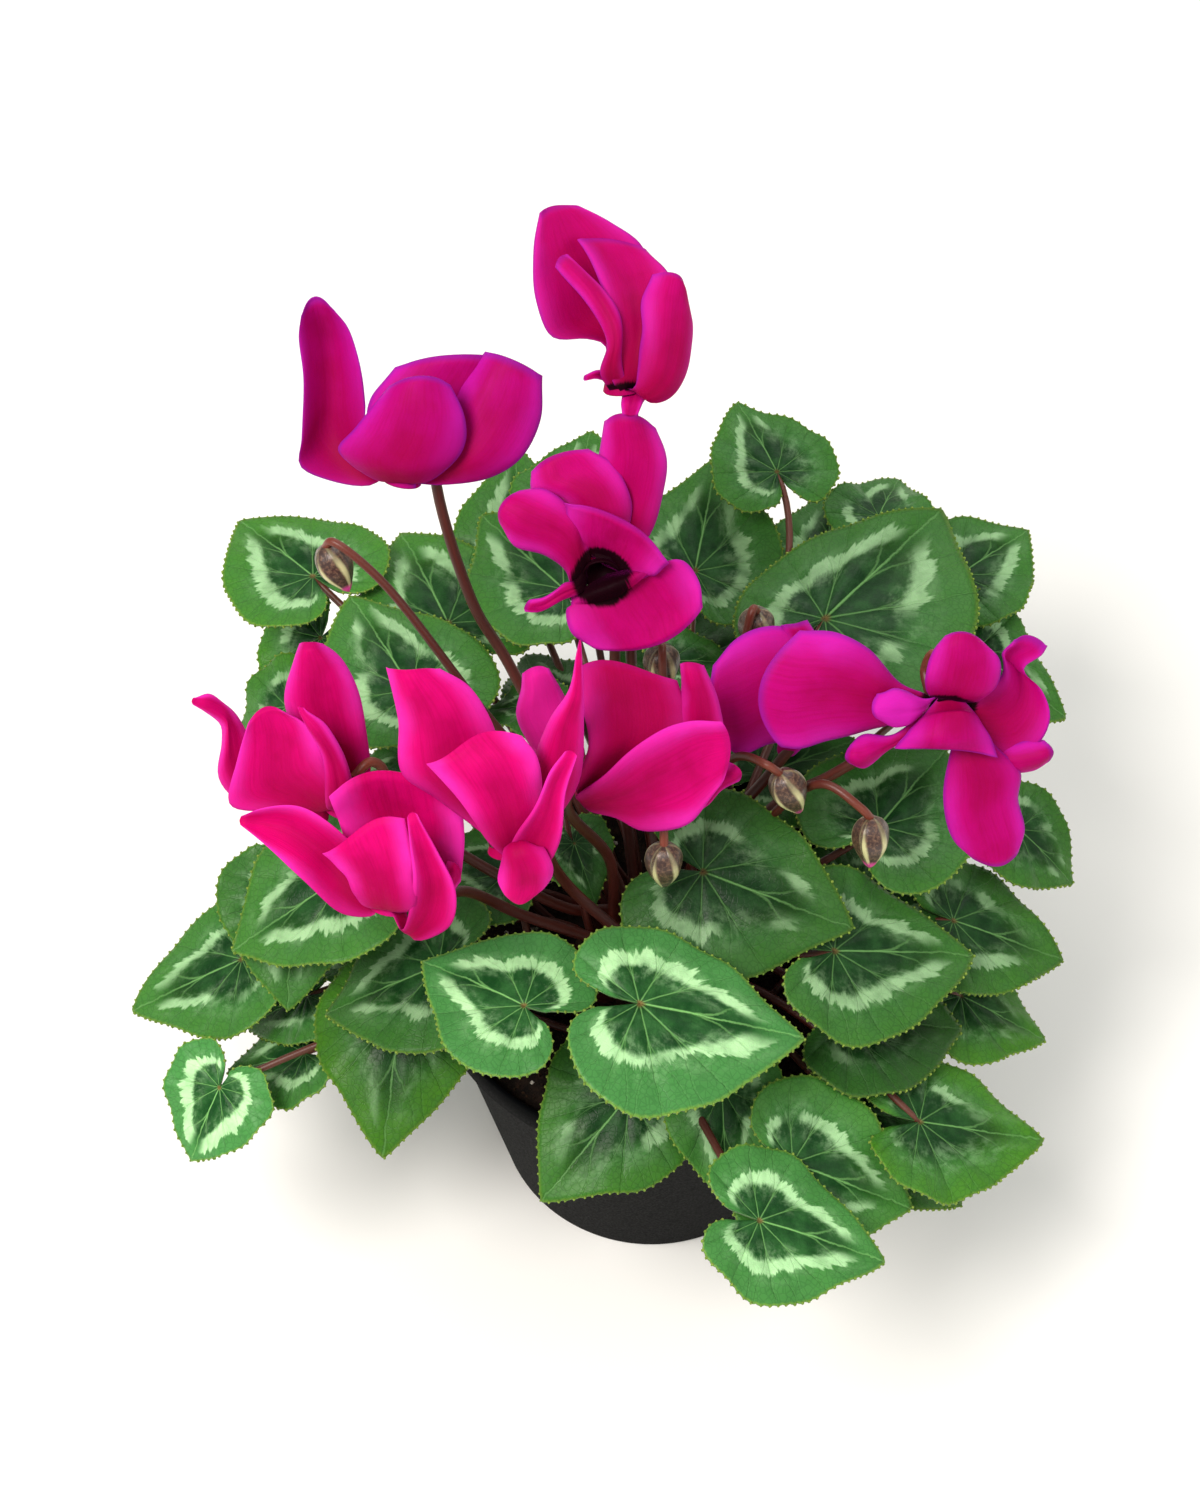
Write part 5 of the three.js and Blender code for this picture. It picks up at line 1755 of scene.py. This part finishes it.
@dataclass
class Flowers:
    """The open blooms: velvety corollas, and the calyxes and crooked stalks that carry them."""

    finishes: Finishes
    throat_mm: float = 4.8
    throat_depth_mm: float = 8.0
    throat_sides: int = 30
    stalk_mm: float = 1.45
    stalk_sides: int = 14
    stalk_rise_mm: float = 9.0
    calyx_sides: int = 40
    lobe_mm: float = 2.0
    petal_mm: float = 0.5
    root_half_mm: float = 2.2
    rows: int = 40
    columns: int = 23
    ruffle_mm: float = 0.45
    wave_mm: float = 0.5
    rim_mm: float = 0.8
    crease_mm: float = 0.3

    def build(self, seats: dict[str, Seat]) -> None:
        """Make every bloom.

        Args:
            seats: The stalk's seat for each bloom.
        """
        for number, (name, bloom) in enumerate(BLOOMS.items()):
            self._corolla(name, bloom, number)
            self._stalk(name, bloom, number, seats[name])

    def _corolla(self, name: str, bloom: Bloom, number: int) -> None:
        """Make one corolla.

        Args:
            name: The bloom's name.
            bloom: The bloom.
            number: Its place in the table.
        """
        sketch = Sketch()
        for k, petal in enumerate(PETALS[name]):
            self._petal(sketch, petal, bloom, number * 7 + k)
        r, d = self.throat_mm, self.throat_depth_mm
        cup = [
            (0.0, -d), (0.4 * r, -0.98 * d), (0.7 * r, -0.85 * d), (0.8 * r, -0.4 * d), (0.95 * r, -0.1 * d)
        ]
        rim = [(r, 0.0)]
        well = [
            (0.95 * r, 0.3), (0.8 * r, -0.1 * d), (0.6 * r, -0.35 * d), (0.3 * r, -0.45 * d), (0.0, -0.5 * d)
        ]
        stained = float(bloom.rim_stained)
        stain = np.array([0.0] * (len(cup) - 1) + [stained] * (1 + len(rim)) + [1.0] * len(well))
        marks = {"eye": stain, "hot": bloom.hot, "seed": number * 0.1}
        sketch.lathe(cup + rim + well, self.throat_sides, facing(metres(bloom.mouth), bloom.looks), marks)
        piece = sketch.build("corolla_" + name + "_petals", [self.finishes.petal])
        settle(piece, "petal_velvet", "corolla_" + name)

    @staticmethod
    def _hem(points: Sequence[Vector], t: Array) -> Array:
        """Read places along a smooth curve through the points of a petal's edge.

        Args:
            points: The points, from the throat.
            t: Shares of the curve's length.

        Returns:
            A place for each share.
        """
        path = np.array(chain(points, EDGE_STEPS))
        run = np.concatenate([[0.0], np.cumsum(np.linalg.norm(np.diff(path, axis=0), axis=1))])
        return np.stack([np.interp(t * run[-1], run, path[:, k]) for k in range(3)], axis=-1)

    def _lift(self, bulge: float, t: Array, s: Array, opened: Array, phase: float) -> Array:
        """Find how far a petal stands out of the sheet between its edges.

        Args:
            bulge: How far its middle stands out.
            t: Share of the way from the throat, rows in a column.
            s: Place across, from -1 at one edge to 1 at the other.
            opened: How much of its relief each row has, alike.
            phase: A turn of its own.

        Returns:
            Lifts in millimetres, rows by columns.
        """
        lift = bulge * opened * (1 - 0.35 * smooth(t, 0.7, 1.0)) * (1 - s**2)
        ripple = np.sin(9.0 * t + phase + 1.4 * np.sign(s)) + 0.5 * np.sin(21 * t + 2 * phase + s)
        lift += self.ruffle_mm * ripple * np.abs(s) ** 3 * opened
        lift += self.wave_mm * np.sin(3.2 * s + phase) * np.sin(6.0 * t + phase) * opened
        lift -= self.rim_mm * smooth(np.abs(s), 0.84, 1.0) ** 1.5 * opened
        lift -= self.crease_mm * np.exp(-((s / 0.12) ** 2)) * (smooth(t, 0.05, 0.3) * smooth(t, 0.95, 0.6))
        lift -= self.rim_mm * smooth(t, 0.93, 1.0) ** 1.5 * (1 - s**4)
        return lift

    def _petal(self, sketch: Sketch, petal: Petal, bloom: Bloom, number: int) -> None:
        """Add one petal: a sheet hung between its two edges, with a bulge, soft waves and rolled rims.

        Args:
            sketch: Where it goes.
            petal: The petal.
            bloom: The bloom that it belongs to.
            number: A number of its own.
        """
        mouth, axis = metres(bloom.mouth), bloom.looks
        edges = [
            [VIEW.place(spot, mouth, bloom.upright) for spot in edge] for edge in (petal.one, petal.other)
        ]
        way = (edges[0][0] + edges[1][0]) * 0.5 - mouth
        out = (way - axis * way.dot(axis)).normalized()
        wide = edges[1][0] - edges[0][0]
        wide = (wide - axis * wide.dot(axis)).normalized()
        wide = (wide - out * wide.dot(out)).normalized()
        root = mouth + out * (0.8 * self.throat_mm * MM) - axis * MM
        t = 1 - (1 - np.linspace(0.0, 1.0, self.rows)) ** 1.3
        one, other = (
            self._hem([root + wide * (sign * self.root_half_mm * MM), *edge], t)
            for edge, sign in zip(edges, (-1, 1))
        )
        s = np.linspace(-1.0, 1.0, self.columns)
        s = np.sign(s) * np.abs(s) ** 0.8
        middle = 0.5 * (one + other)
        across = other - one
        width = np.linalg.norm(across, axis=1)[:, None]
        ahead = np.gradient(middle, axis=0)
        ahead /= np.linalg.norm(ahead, axis=1)[:, None]
        normal = np.cross(across, ahead)
        normal /= np.linalg.norm(normal, axis=1)[:, None] + 1e-12
        normal *= np.sign(normal @ np.array(VIEW.front))[:, None]
        t = t[:, None]
        opened = smooth(t, 0.05, 0.45) * np.clip(width / (8 * MM), 0.2, 1.0)
        lift = self._lift(petal.bulge, t, s, opened, number * 1.7)
        reach = petal.arc * width * smooth(t, 0.35, 1.0) * (1 - s**2) * (1 + petal.skew * s)
        sheet = middle[:, None, :] + 0.5 * s[None, :, None] * across[:, None, :]
        sheet += reach[..., None] * ahead[:, None, :]
        sheet += (lift * MM)[..., None] * normal[:, None, :]
        half = (0.5 * self.petal_mm * MM * (1 - 0.45 * np.abs(s) ** 3))[None, :, None] * normal[:, None, :]
        uv = np.stack(np.broadcast_arrays(0.5 * (s + 1), t), axis=-1)
        far = np.linalg.norm(sheet - np.array(mouth), axis=2) / MM
        marks = {"hot": bloom.hot, "seed": number * 0.61, "pale": petal.pale, "shaded": petal.shaded}
        marks["eye"] = petal.dark * smooth(far, 1.3 * bloom.eyed, 0.7 * bloom.eyed)
        sketch.slab(sheet + half, sheet - half, uv, marks)

    def _stalk(self, name: str, bloom: Bloom, number: int, seat: Seat) -> None:
        """Make one stalk with its calyx.

        Args:
            name: The bloom's name.
            bloom: The bloom.
            number: Its place in the table.
            seat: Its foot.
        """
        mouth, axis, side = metres(bloom.mouth), bloom.looks, bloom.aside
        calyx = mouth - axis * ((self.throat_depth_mm + 1) * MM)
        # The stalk climbs past the mouth and bends over its shoulder into the calyx.
        waist = mouth - axis * MM + side * (9.5 * MM)
        shoulder = calyx - axis * (2 * MM) + side * (8.5 * MM)
        neck = calyx - axis * (4.5 * MM) + side * (3.5 * MM)
        rise = seat.foot + seat.normal * (self.stalk_rise_mm * MM)
        path = chain([seat.foot, rise, *map(metres, bloom.via), waist, shoulder, neck, calyx], STALK_STEPS)
        last = len(path) - 1
        radii = [self.stalk_mm * MM * (1.05 - 0.22 * k / last) for k in range(last + 1)]
        marks = {"seed": number * 0.43}
        sketch = Sketch()
        sketch.rod(path, radii, self.stalk_sides, marks)
        r, d = 0.8 * self.throat_mm, self.throat_depth_mm
        outside = [
            (0.0, -d - 1.3),
            (0.5 * r, -d - 1.2),
            (0.95 * r, -0.9 * d),
            (r + 1.2, -0.7 * d),
            (r + 1.1, -0.56 * d),
        ]
        inside = [(r + 0.6, -0.56 * d), (r + 0.4, -0.7 * d), (0.85 * r, -0.88 * d), (0.0, -d - 0.2)]
        sketch.lathe(outside + inside, self.calyx_sides, facing(mouth, axis), marks, self.lobe_mm)
        piece = sketch.build("stalk_" + name + "_skin", [self.finishes.stalk])
        settle(piece, "stalk_skin", "stalk_" + name)


@dataclass(frozen=True)
class Bud:
    """One bud: where its head hangs, what its stalk climbs through, its lean and how pink its tip is."""

    head: Triple
    via: tuple[Triple, ...]
    lean: tuple[float, float] = (0.0, -0.25)
    pink: float = 0.0


BUDS: dict[str, Bud] = {
    "far": Bud((-81, 55, 186), ((-44, 30, 157), (-69, 49, 186)), lean=(0.5, -0.5), pink=1.0),
    "centre": Bud((1, -15, 158), ((-2, 9, 138), (0, -4, 165))),
    "right": Bud((31, 3, 163), ((9, 12, 136), (19, 12, 162)), lean=(0.45, -0.3), pink=0.6),
    "right_low": Bud((52, -5, 154), ((23, 6, 132), (40, 4, 162)), lean=(0.0, -0.6), pink=1.0),
    "back": Bud((1, 39, 166), ((2, 26, 140),)),
    "back_low": Bud((25, 49, 168), ((18, 36, 140),)),
}


# Each pair is a share of the way from stalk to tip, and the head's radius there as a share of its most.
BUD_OUTLINE = (
    (0, 0.03), (0.05, 0.45), (0.15, 0.78), (0.32, 0.98), (0.5, 0.96), (0.68, 0.74), (0.84, 0.44), (0.95, 0.2),
    (1, 0.02),
)


@dataclass
class Nodders:
    """The closed buds, each hanging from the crook of its own stalk."""

    finishes: Finishes
    head_mm: float = 4.6
    head_sides: int = 40
    rib_share: float = 0.045
    stalk_mm: float = 1.16
    stalk_sides: int = 12
    stalk_rise_mm: float = 9.0
    crook_mm: float = 3.0
    seed_step: float = 0.29

    def build(self, seats: dict[str, Seat]) -> None:
        """Make every bud.

        Args:
            seats: The stalk's seat for each bud.
        """
        for number, (name, bud) in enumerate(BUDS.items()):
            down = Vector((*bud.lean, -1)).normalized()
            stalk = self._stalk(bud, down, seats[name], number * self.seed_step)
            settle(stalk.build("bud_" + name + "_stalk", [self.finishes.stalk]), "stalk_skin", "bud_" + name)
            head = self._head(bud, down, number * self.seed_step)
            settle(head.build("bud_" + name + "_head", [self.finishes.bud]), "stalk_skin", "bud_" + name)

    def _stalk(self, bud: Bud, down: Vector, seat: Seat, seed: float) -> Sketch:
        """Draw one stalk with its crook.

        Args:
            bud: The bud.
            down: The way its head hangs.
            seat: The stalk's foot.
            seed: A number of its own.

        Returns:
            The stalk's sketch.
        """
        head = metres(bud.head)
        out = Vector((head.x, head.y, 0)).normalized()
        top = head - down * (self.head_mm * MM)
        bend = top + Vector((0, 0, self.crook_mm * MM)) - out * (self.crook_mm * MM)
        rise = seat.foot + seat.normal * (self.stalk_rise_mm * MM)
        path = chain([seat.foot, rise, *map(metres, bud.via), bend, top + down * MM], STALK_STEPS)
        radii = [self.stalk_mm * MM * (1.05 - 0.15 * k / len(path)) for k in range(len(path))]
        sketch = Sketch()
        sketch.rod(path, radii, self.stalk_sides, {"seed": seed})
        return sketch

    def _head(self, bud: Bud, down: Vector, seed: float) -> Sketch:
        """Draw one head, ribbed by its five sepals.

        Args:
            bud: The bud.
            down: The way it hangs.
            seed: A number of its own.

        Returns:
            The head's sketch.
        """
        r = self.head_mm
        share = np.linspace(0, 1, 26)
        spine = [metres(bud.head) + down * ((3.1 * s - 1.0) * r * MM) for s in share]
        radii = [float(v) * r * MM for v in rounded_table(BUD_OUTLINE, share)]
        sketch = Sketch()
        sketch.rod(spine, radii, self.head_sides, {"pink": bud.pink, "seed": seed}, self.rib_share)
        return sketch


# ------------------------------------------------------------------ pot, soil and tuber


@dataclass
class Pot:
    """The round nursery pot, with a stepped rim and drain holes, and what fills it."""

    finishes: Finishes
    height: float = 95.0
    top: float = 60.0
    base: float = 43.0
    wall: float = 1.3
    rim: float = 9.0
    step: float = 2.4
    drains: int = 6
    drain_mm: float = 4.0
    drain_sides: int = 28
    drain_circle: float = 30.0
    edge_mm: float = 0.25
    sides: int = 128
    soil_top: float = 86.0
    soil_gap: float = 0.35

    def inner(self, height: float) -> float:
        """Find the inner wall's radius.

        Args:
            height: Height over the floor.

        Returns:
            The radius there.
        """
        shoulder = self.height - self.rim
        low, high = self.base - self.wall, self.top - self.step - self.wall
        return low + (high - low) * height / shoulder

    def build(self) -> None:
        """Make pot, soil and tuber."""
        self._pot()
        self._soil()
        self._tuber()

    def _pot(self) -> None:
        """Make the pot from its turned profile, and cut its drains."""
        shoulder = self.height - self.rim
        profile = [
            (0, 0), (self.base - 1, 0), (self.base - 0.3, 0.3), (self.base, 1),
            (self.top - self.step, shoulder), (self.top - 0.5, shoulder + 0.2), (self.top, shoulder + 1),
            (self.top, self.height - 0.6), (self.top - 0.3, self.height), (self.top - 1, self.height),
            (self.top - self.wall, self.height - 0.5), (self.top - self.wall, shoulder + 2),
            (self.inner(shoulder), shoulder), (self.inner(self.wall), self.wall), (0, self.wall),
        ]
        sketch = Sketch()
        sketch.lathe(profile, self.sides, Matrix.Identity(4), {})
        pot = sketch.build("pot_shell", [self.finishes.pot])
        cutter = bmesh.new()
        radius = self.drain_mm * MM
        for k in range(self.drains):
            angle = 2 * math.pi * k / self.drains
            x, y = (self.drain_circle * wave(angle) * MM for wave in (math.cos, math.sin))
            spot = Matrix.Translation((x, y, 0))
            ends = {"radius1": radius, "radius2": radius, "cap_ends": True}
            bmesh.ops.create_cone(cutter, segments=self.drain_sides, depth=5 * MM, matrix=spot, **ends)
        drill_mesh = bpy.data.meshes.new("drills")
        cutter.to_mesh(drill_mesh)
        cutter.free()
        drill = bpy.data.objects.new("drills", drill_mesh)
        bpy.context.scene.collection.objects.link(drill)
        cut = pot.modifiers.new("drains", "BOOLEAN")
        cut.object, cut.operation, cut.solver = drill, "DIFFERENCE", "EXACT"
        bevel = pot.modifiers.new("soft_edges", "BEVEL")
        bevel.width, bevel.segments = self.edge_mm * MM, 2
        bevel.limit_method, bevel.angle_limit = "ANGLE", math.radians(40)
        made = bpy.data.meshes.new_from_object(pot.evaluated_get(bpy.context.evaluated_depsgraph_get()))
        pot.modifiers.clear()
        pot.data = made
        bpy.data.objects.remove(drill)
        made.shade_smooth()
        made.set_sharp_from_angle(angle=math.radians(35))
        settle(pot, "pot_plastic", "pot")

    def _soil(self) -> None:
        """Make the soil with an uneven top, then scatter crumbs and perlite on it."""
        rows, sides = 44, 120
        turn = np.linspace(0, 2 * math.pi, sides, endpoint=False)
        edge = self.inner(self.soil_top - 1) - self.soil_gap
        floor = self.wall + 0.3
        radii = np.concatenate([[0.0, self.inner(floor) - self.soil_gap], np.linspace(edge, 0.0, rows)])
        x, y = np.outer(radii, np.cos(turn)), np.outer(radii, np.sin(turn))
        relief = 0.9 * (np.sin(x * 0.21) * np.cos(y * 0.17) + 0.5 * np.sin(x * 0.4 + y * 0.3))
        fine = 0.45 * np.sin(1.3 * x + 2.1 * np.sin(0.7 * y)) * np.cos(1.1 * y + 1.7 * np.sin(0.9 * x))
        z = self.soil_top + (relief + fine) * smooth(radii, edge, 0.88 * edge)[:, None]
        z[:2] = floor
        z[2] = self.soil_top - 1
        sketch = Sketch()
        uv = np.stack([x, y], axis=-1) * MM
        tops = np.zeros((rows + 2, sides))
        tops[4:] = 1.0
        sketch.grid(np.stack([x, y, z], axis=-1) * MM, uv, {"top": tops}, wrap=True)
        piece = sketch.build("soil_bed", [self.finishes.soil, self.finishes.crumb, self.finishes.perlite])
        crumbs = {"per_square_metre": 150000, "radius_mm": 0.85, "seed": 11}
        grains = {"per_square_metre": 5200, "radius_mm": 1.0, "seed": 23}
        Scatter("peat_crumbs", self.finishes.crumb, **crumbs).strew(piece)
        Scatter("perlite_grains", self.finishes.perlite, **grains).strew(piece)
        settle(piece, "potting_soil", "soil")

    def _tuber(self) -> None:
        """Make the flattened corky tuber, its skin wrinkled and furrowed."""
        turn = np.linspace(0, 2 * math.pi, 90, endpoint=False)
        tilt = np.linspace(0.0, math.pi, 46)[:, None]
        swell = 1 - 0.012 * (1 + np.sin(9 * turn + 3 * np.cos(5 * tilt))) * np.sin(tilt)
        swell -= 0.008 * np.abs(np.sin(17 * turn + 6 * tilt)) * np.sin(tilt)
        x = TUBER_RADIUS * swell * np.sin(tilt) * np.cos(turn)
        y = TUBER_RADIUS * swell * np.sin(tilt) * np.sin(turn)
        z = TUBER_TOP - TUBER_HALF_HEIGHT + TUBER_HALF_HEIGHT * swell * np.cos(tilt)
        sketch = Sketch()
        sketch.grid(np.stack([x, y, z], axis=-1) * MM, np.stack([x, y], axis=-1) * MM, {}, wrap=True)
        settle(sketch.build("tuber_skin", [self.finishes.tuber]), "tuber_skin", "tuber")


@dataclass(frozen=True)
class Scatter:
    """Strews small stones over the marked top of a piece, by Geometry Nodes."""

    name: str
    finish: Material
    per_square_metre: float
    radius_mm: float
    seed: int

    def _tree(self) -> NodeTree:
        """Build the tree.

        Returns:
            The tree.
        """
        tree = bpy.data.node_groups.new(self.name, "GeometryNodeTree")
        tree.interface.new_socket("Geometry", in_out="INPUT", socket_type="NodeSocketGeometry")
        for label in ("Density", "Radius"):
            tree.interface.new_socket(label, in_out="INPUT", socket_type="NodeSocketFloat")
        tree.interface.new_socket("Seed", in_out="INPUT", socket_type="NodeSocketInt")
        tree.interface.new_socket("Geometry", in_out="OUTPUT", socket_type="NodeSocketGeometry")
        bed, density, radius, seed = (add(tree, "NodeGroupInput", out=k) for k in range(4))
        top = add(tree, "GeometryNodeInputNamedAttribute", ("top",), data_type="FLOAT")
        chosen = add(tree, "FunctionNodeCompare", (top, 0.9), operation="GREATER_THAN")
        links = {"Mesh": bed, "Selection": chosen, "Density": density, "Seed": seed}
        points = add(tree, "GeometryNodeDistributePointsOnFaces", links)
        stone = add(tree, "GeometryNodeMeshIcoSphere", (radius, 1))
        least, most, turned = (0.35, 0.3, 0.25), (1.0, 0.9, 0.7), (math.tau, math.tau, math.tau)
        size = add(
            tree, "FunctionNodeRandomValue", {0: least, 1: most, "Seed": seed}, data_type="FLOAT_VECTOR"
        )
        spin = add(tree, "FunctionNodeRandomValue", {1: turned, "Seed": seed}, data_type="FLOAT_VECTOR")
        links = {"Points": points, "Instance": stone, "Rotation": spin, "Scale": size}
        placed = add(tree, "GeometryNodeInstanceOnPoints", links)
        return close_tree(tree, placed, self.finish, bed)

    def strew(self, piece: Piece) -> None:
        """Scatter the stones.

        Args:
            piece: The piece that they lie on.
        """
        values = {"Density": self.per_square_metre, "Radius": self.radius_mm * MM, "Seed": self.seed}
        grow(piece, self._tree(), values)


# ------------------------------------------------------------------ studio


@dataclass(frozen=True)
class Studio:
    """Plain pale floor, soft lights, and the camera at the photograph's angle."""

    view: View = VIEW
    floor_width: float = 6.0
    paper: str = "#F6F6F4"
    sky: str = "#FBFAF4"
    sky_strength: float = 0.5
    aim: Triple = (0, 0, 0.14)

    def build(self) -> None:
        """Make the camera, the floor, the lamps and the light of the room."""
        scene = bpy.context.scene
        camera = bpy.data.cameras.new("camera")
        camera.lens, camera.sensor_width, camera.clip_start = self.view.lens_mm, self.view.film_mm, 0.01
        stand = bpy.data.objects.new("camera", camera)
        stand.location = metres(self.view.eye)
        stand.rotation_euler = (math.radians(90 - self.view.look_down), 0, 0)
        scene.collection.objects.link(stand)
        scene.camera = stand
        self._floor()
        self._light("key", (-0.55, -0.45, 1.25), 0.65, 18.5, "#FFF8F2")
        self._light("fill", (0.9, -0.5, 0.9), 1.1, 4.0, "#FFFDF8")
        self._light("back", (0.3, 0.9, 1.1), 1.1, 5.5, "#FFFFFF")
        world = bpy.data.worlds.new("studio")
        world.use_nodes = True
        background = world.node_tree.nodes["Background"]
        background.inputs["Color"].default_value = linear(self.sky)
        background.inputs["Strength"].default_value = self.sky_strength
        scene.world = world
        scene.view_settings.view_transform = "Standard"

    def _floor(self) -> None:
        """Make the floor."""
        mesh = bpy.data.meshes.new("floor")
        half = self.floor_width / 2
        corners = [(-half, -half, 0), (half, -half, 0), (half, half, 0), (-half, half, 0)]
        mesh.from_pydata(corners, [], [(0, 1, 2, 3)])
        floor = bpy.data.objects.new("floor", mesh)
        paper = Bench("matt_backdrop_paper")
        finish = paper.finish(Base_Color=linear(self.paper), Roughness=0.95, Specular_IOR_Level=0.1)
        mesh.materials.append(finish)
        bpy.context.scene.collection.objects.link(floor)

    def _light(self, name: str, place: Triple, size: float, watts: float, colour: str) -> None:
        """Add one soft area light aimed at the plant.

        Args:
            name: Its name.
            place: Where it is, in metres.
            size: Width in metres.
            watts: Power.
            colour: Hex colour.
        """
        light = bpy.data.lights.new(name, "AREA")
        light.shape, light.size, light.energy, light.color = "DISK", size, watts, linear(colour)[:3]
        stand = bpy.data.objects.new(name, light)
        stand.location = place
        stand.rotation_euler = (Vector(self.aim) - Vector(place)).to_track_quat("-Z", "Y").to_euler()
        bpy.context.scene.collection.objects.link(stand)


def flower_seats() -> tuple[dict[str, Seat], dict[str, Seat]]:
    """Deal seats to blooms and buds: the first few blooms stand inside, the others with the buds.

    Returns:
        A seat for each bloom by name, and one for each bud.
    """
    reaches = [bloom.mouth for bloom in BLOOMS.values()] + [bud.head for bud in BUDS.values()]
    seats = deal_seats(reaches[:INNER_BLOOMS], STALK_RING) + deal_seats(reaches[INNER_BLOOMS:], BUD_RING)
    return dict(zip(BLOOMS, seats)), dict(zip(BUDS, seats[len(BLOOMS) :]))


def main() -> None:
    """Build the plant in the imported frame."""
    logging.basicConfig(level=logging.INFO, format="%(name)s %(message)s")
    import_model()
    Studio().build()
    finishes = Finishes.make()
    Pot(finishes).build()
    Foliage(finishes).build()
    bloom_seats, bud_seats = flower_seats()
    Flowers(finishes).build(bloom_seats)
    Nodders(finishes).build(bud_seats)
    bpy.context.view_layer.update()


if __name__ == "__main__":
    main()
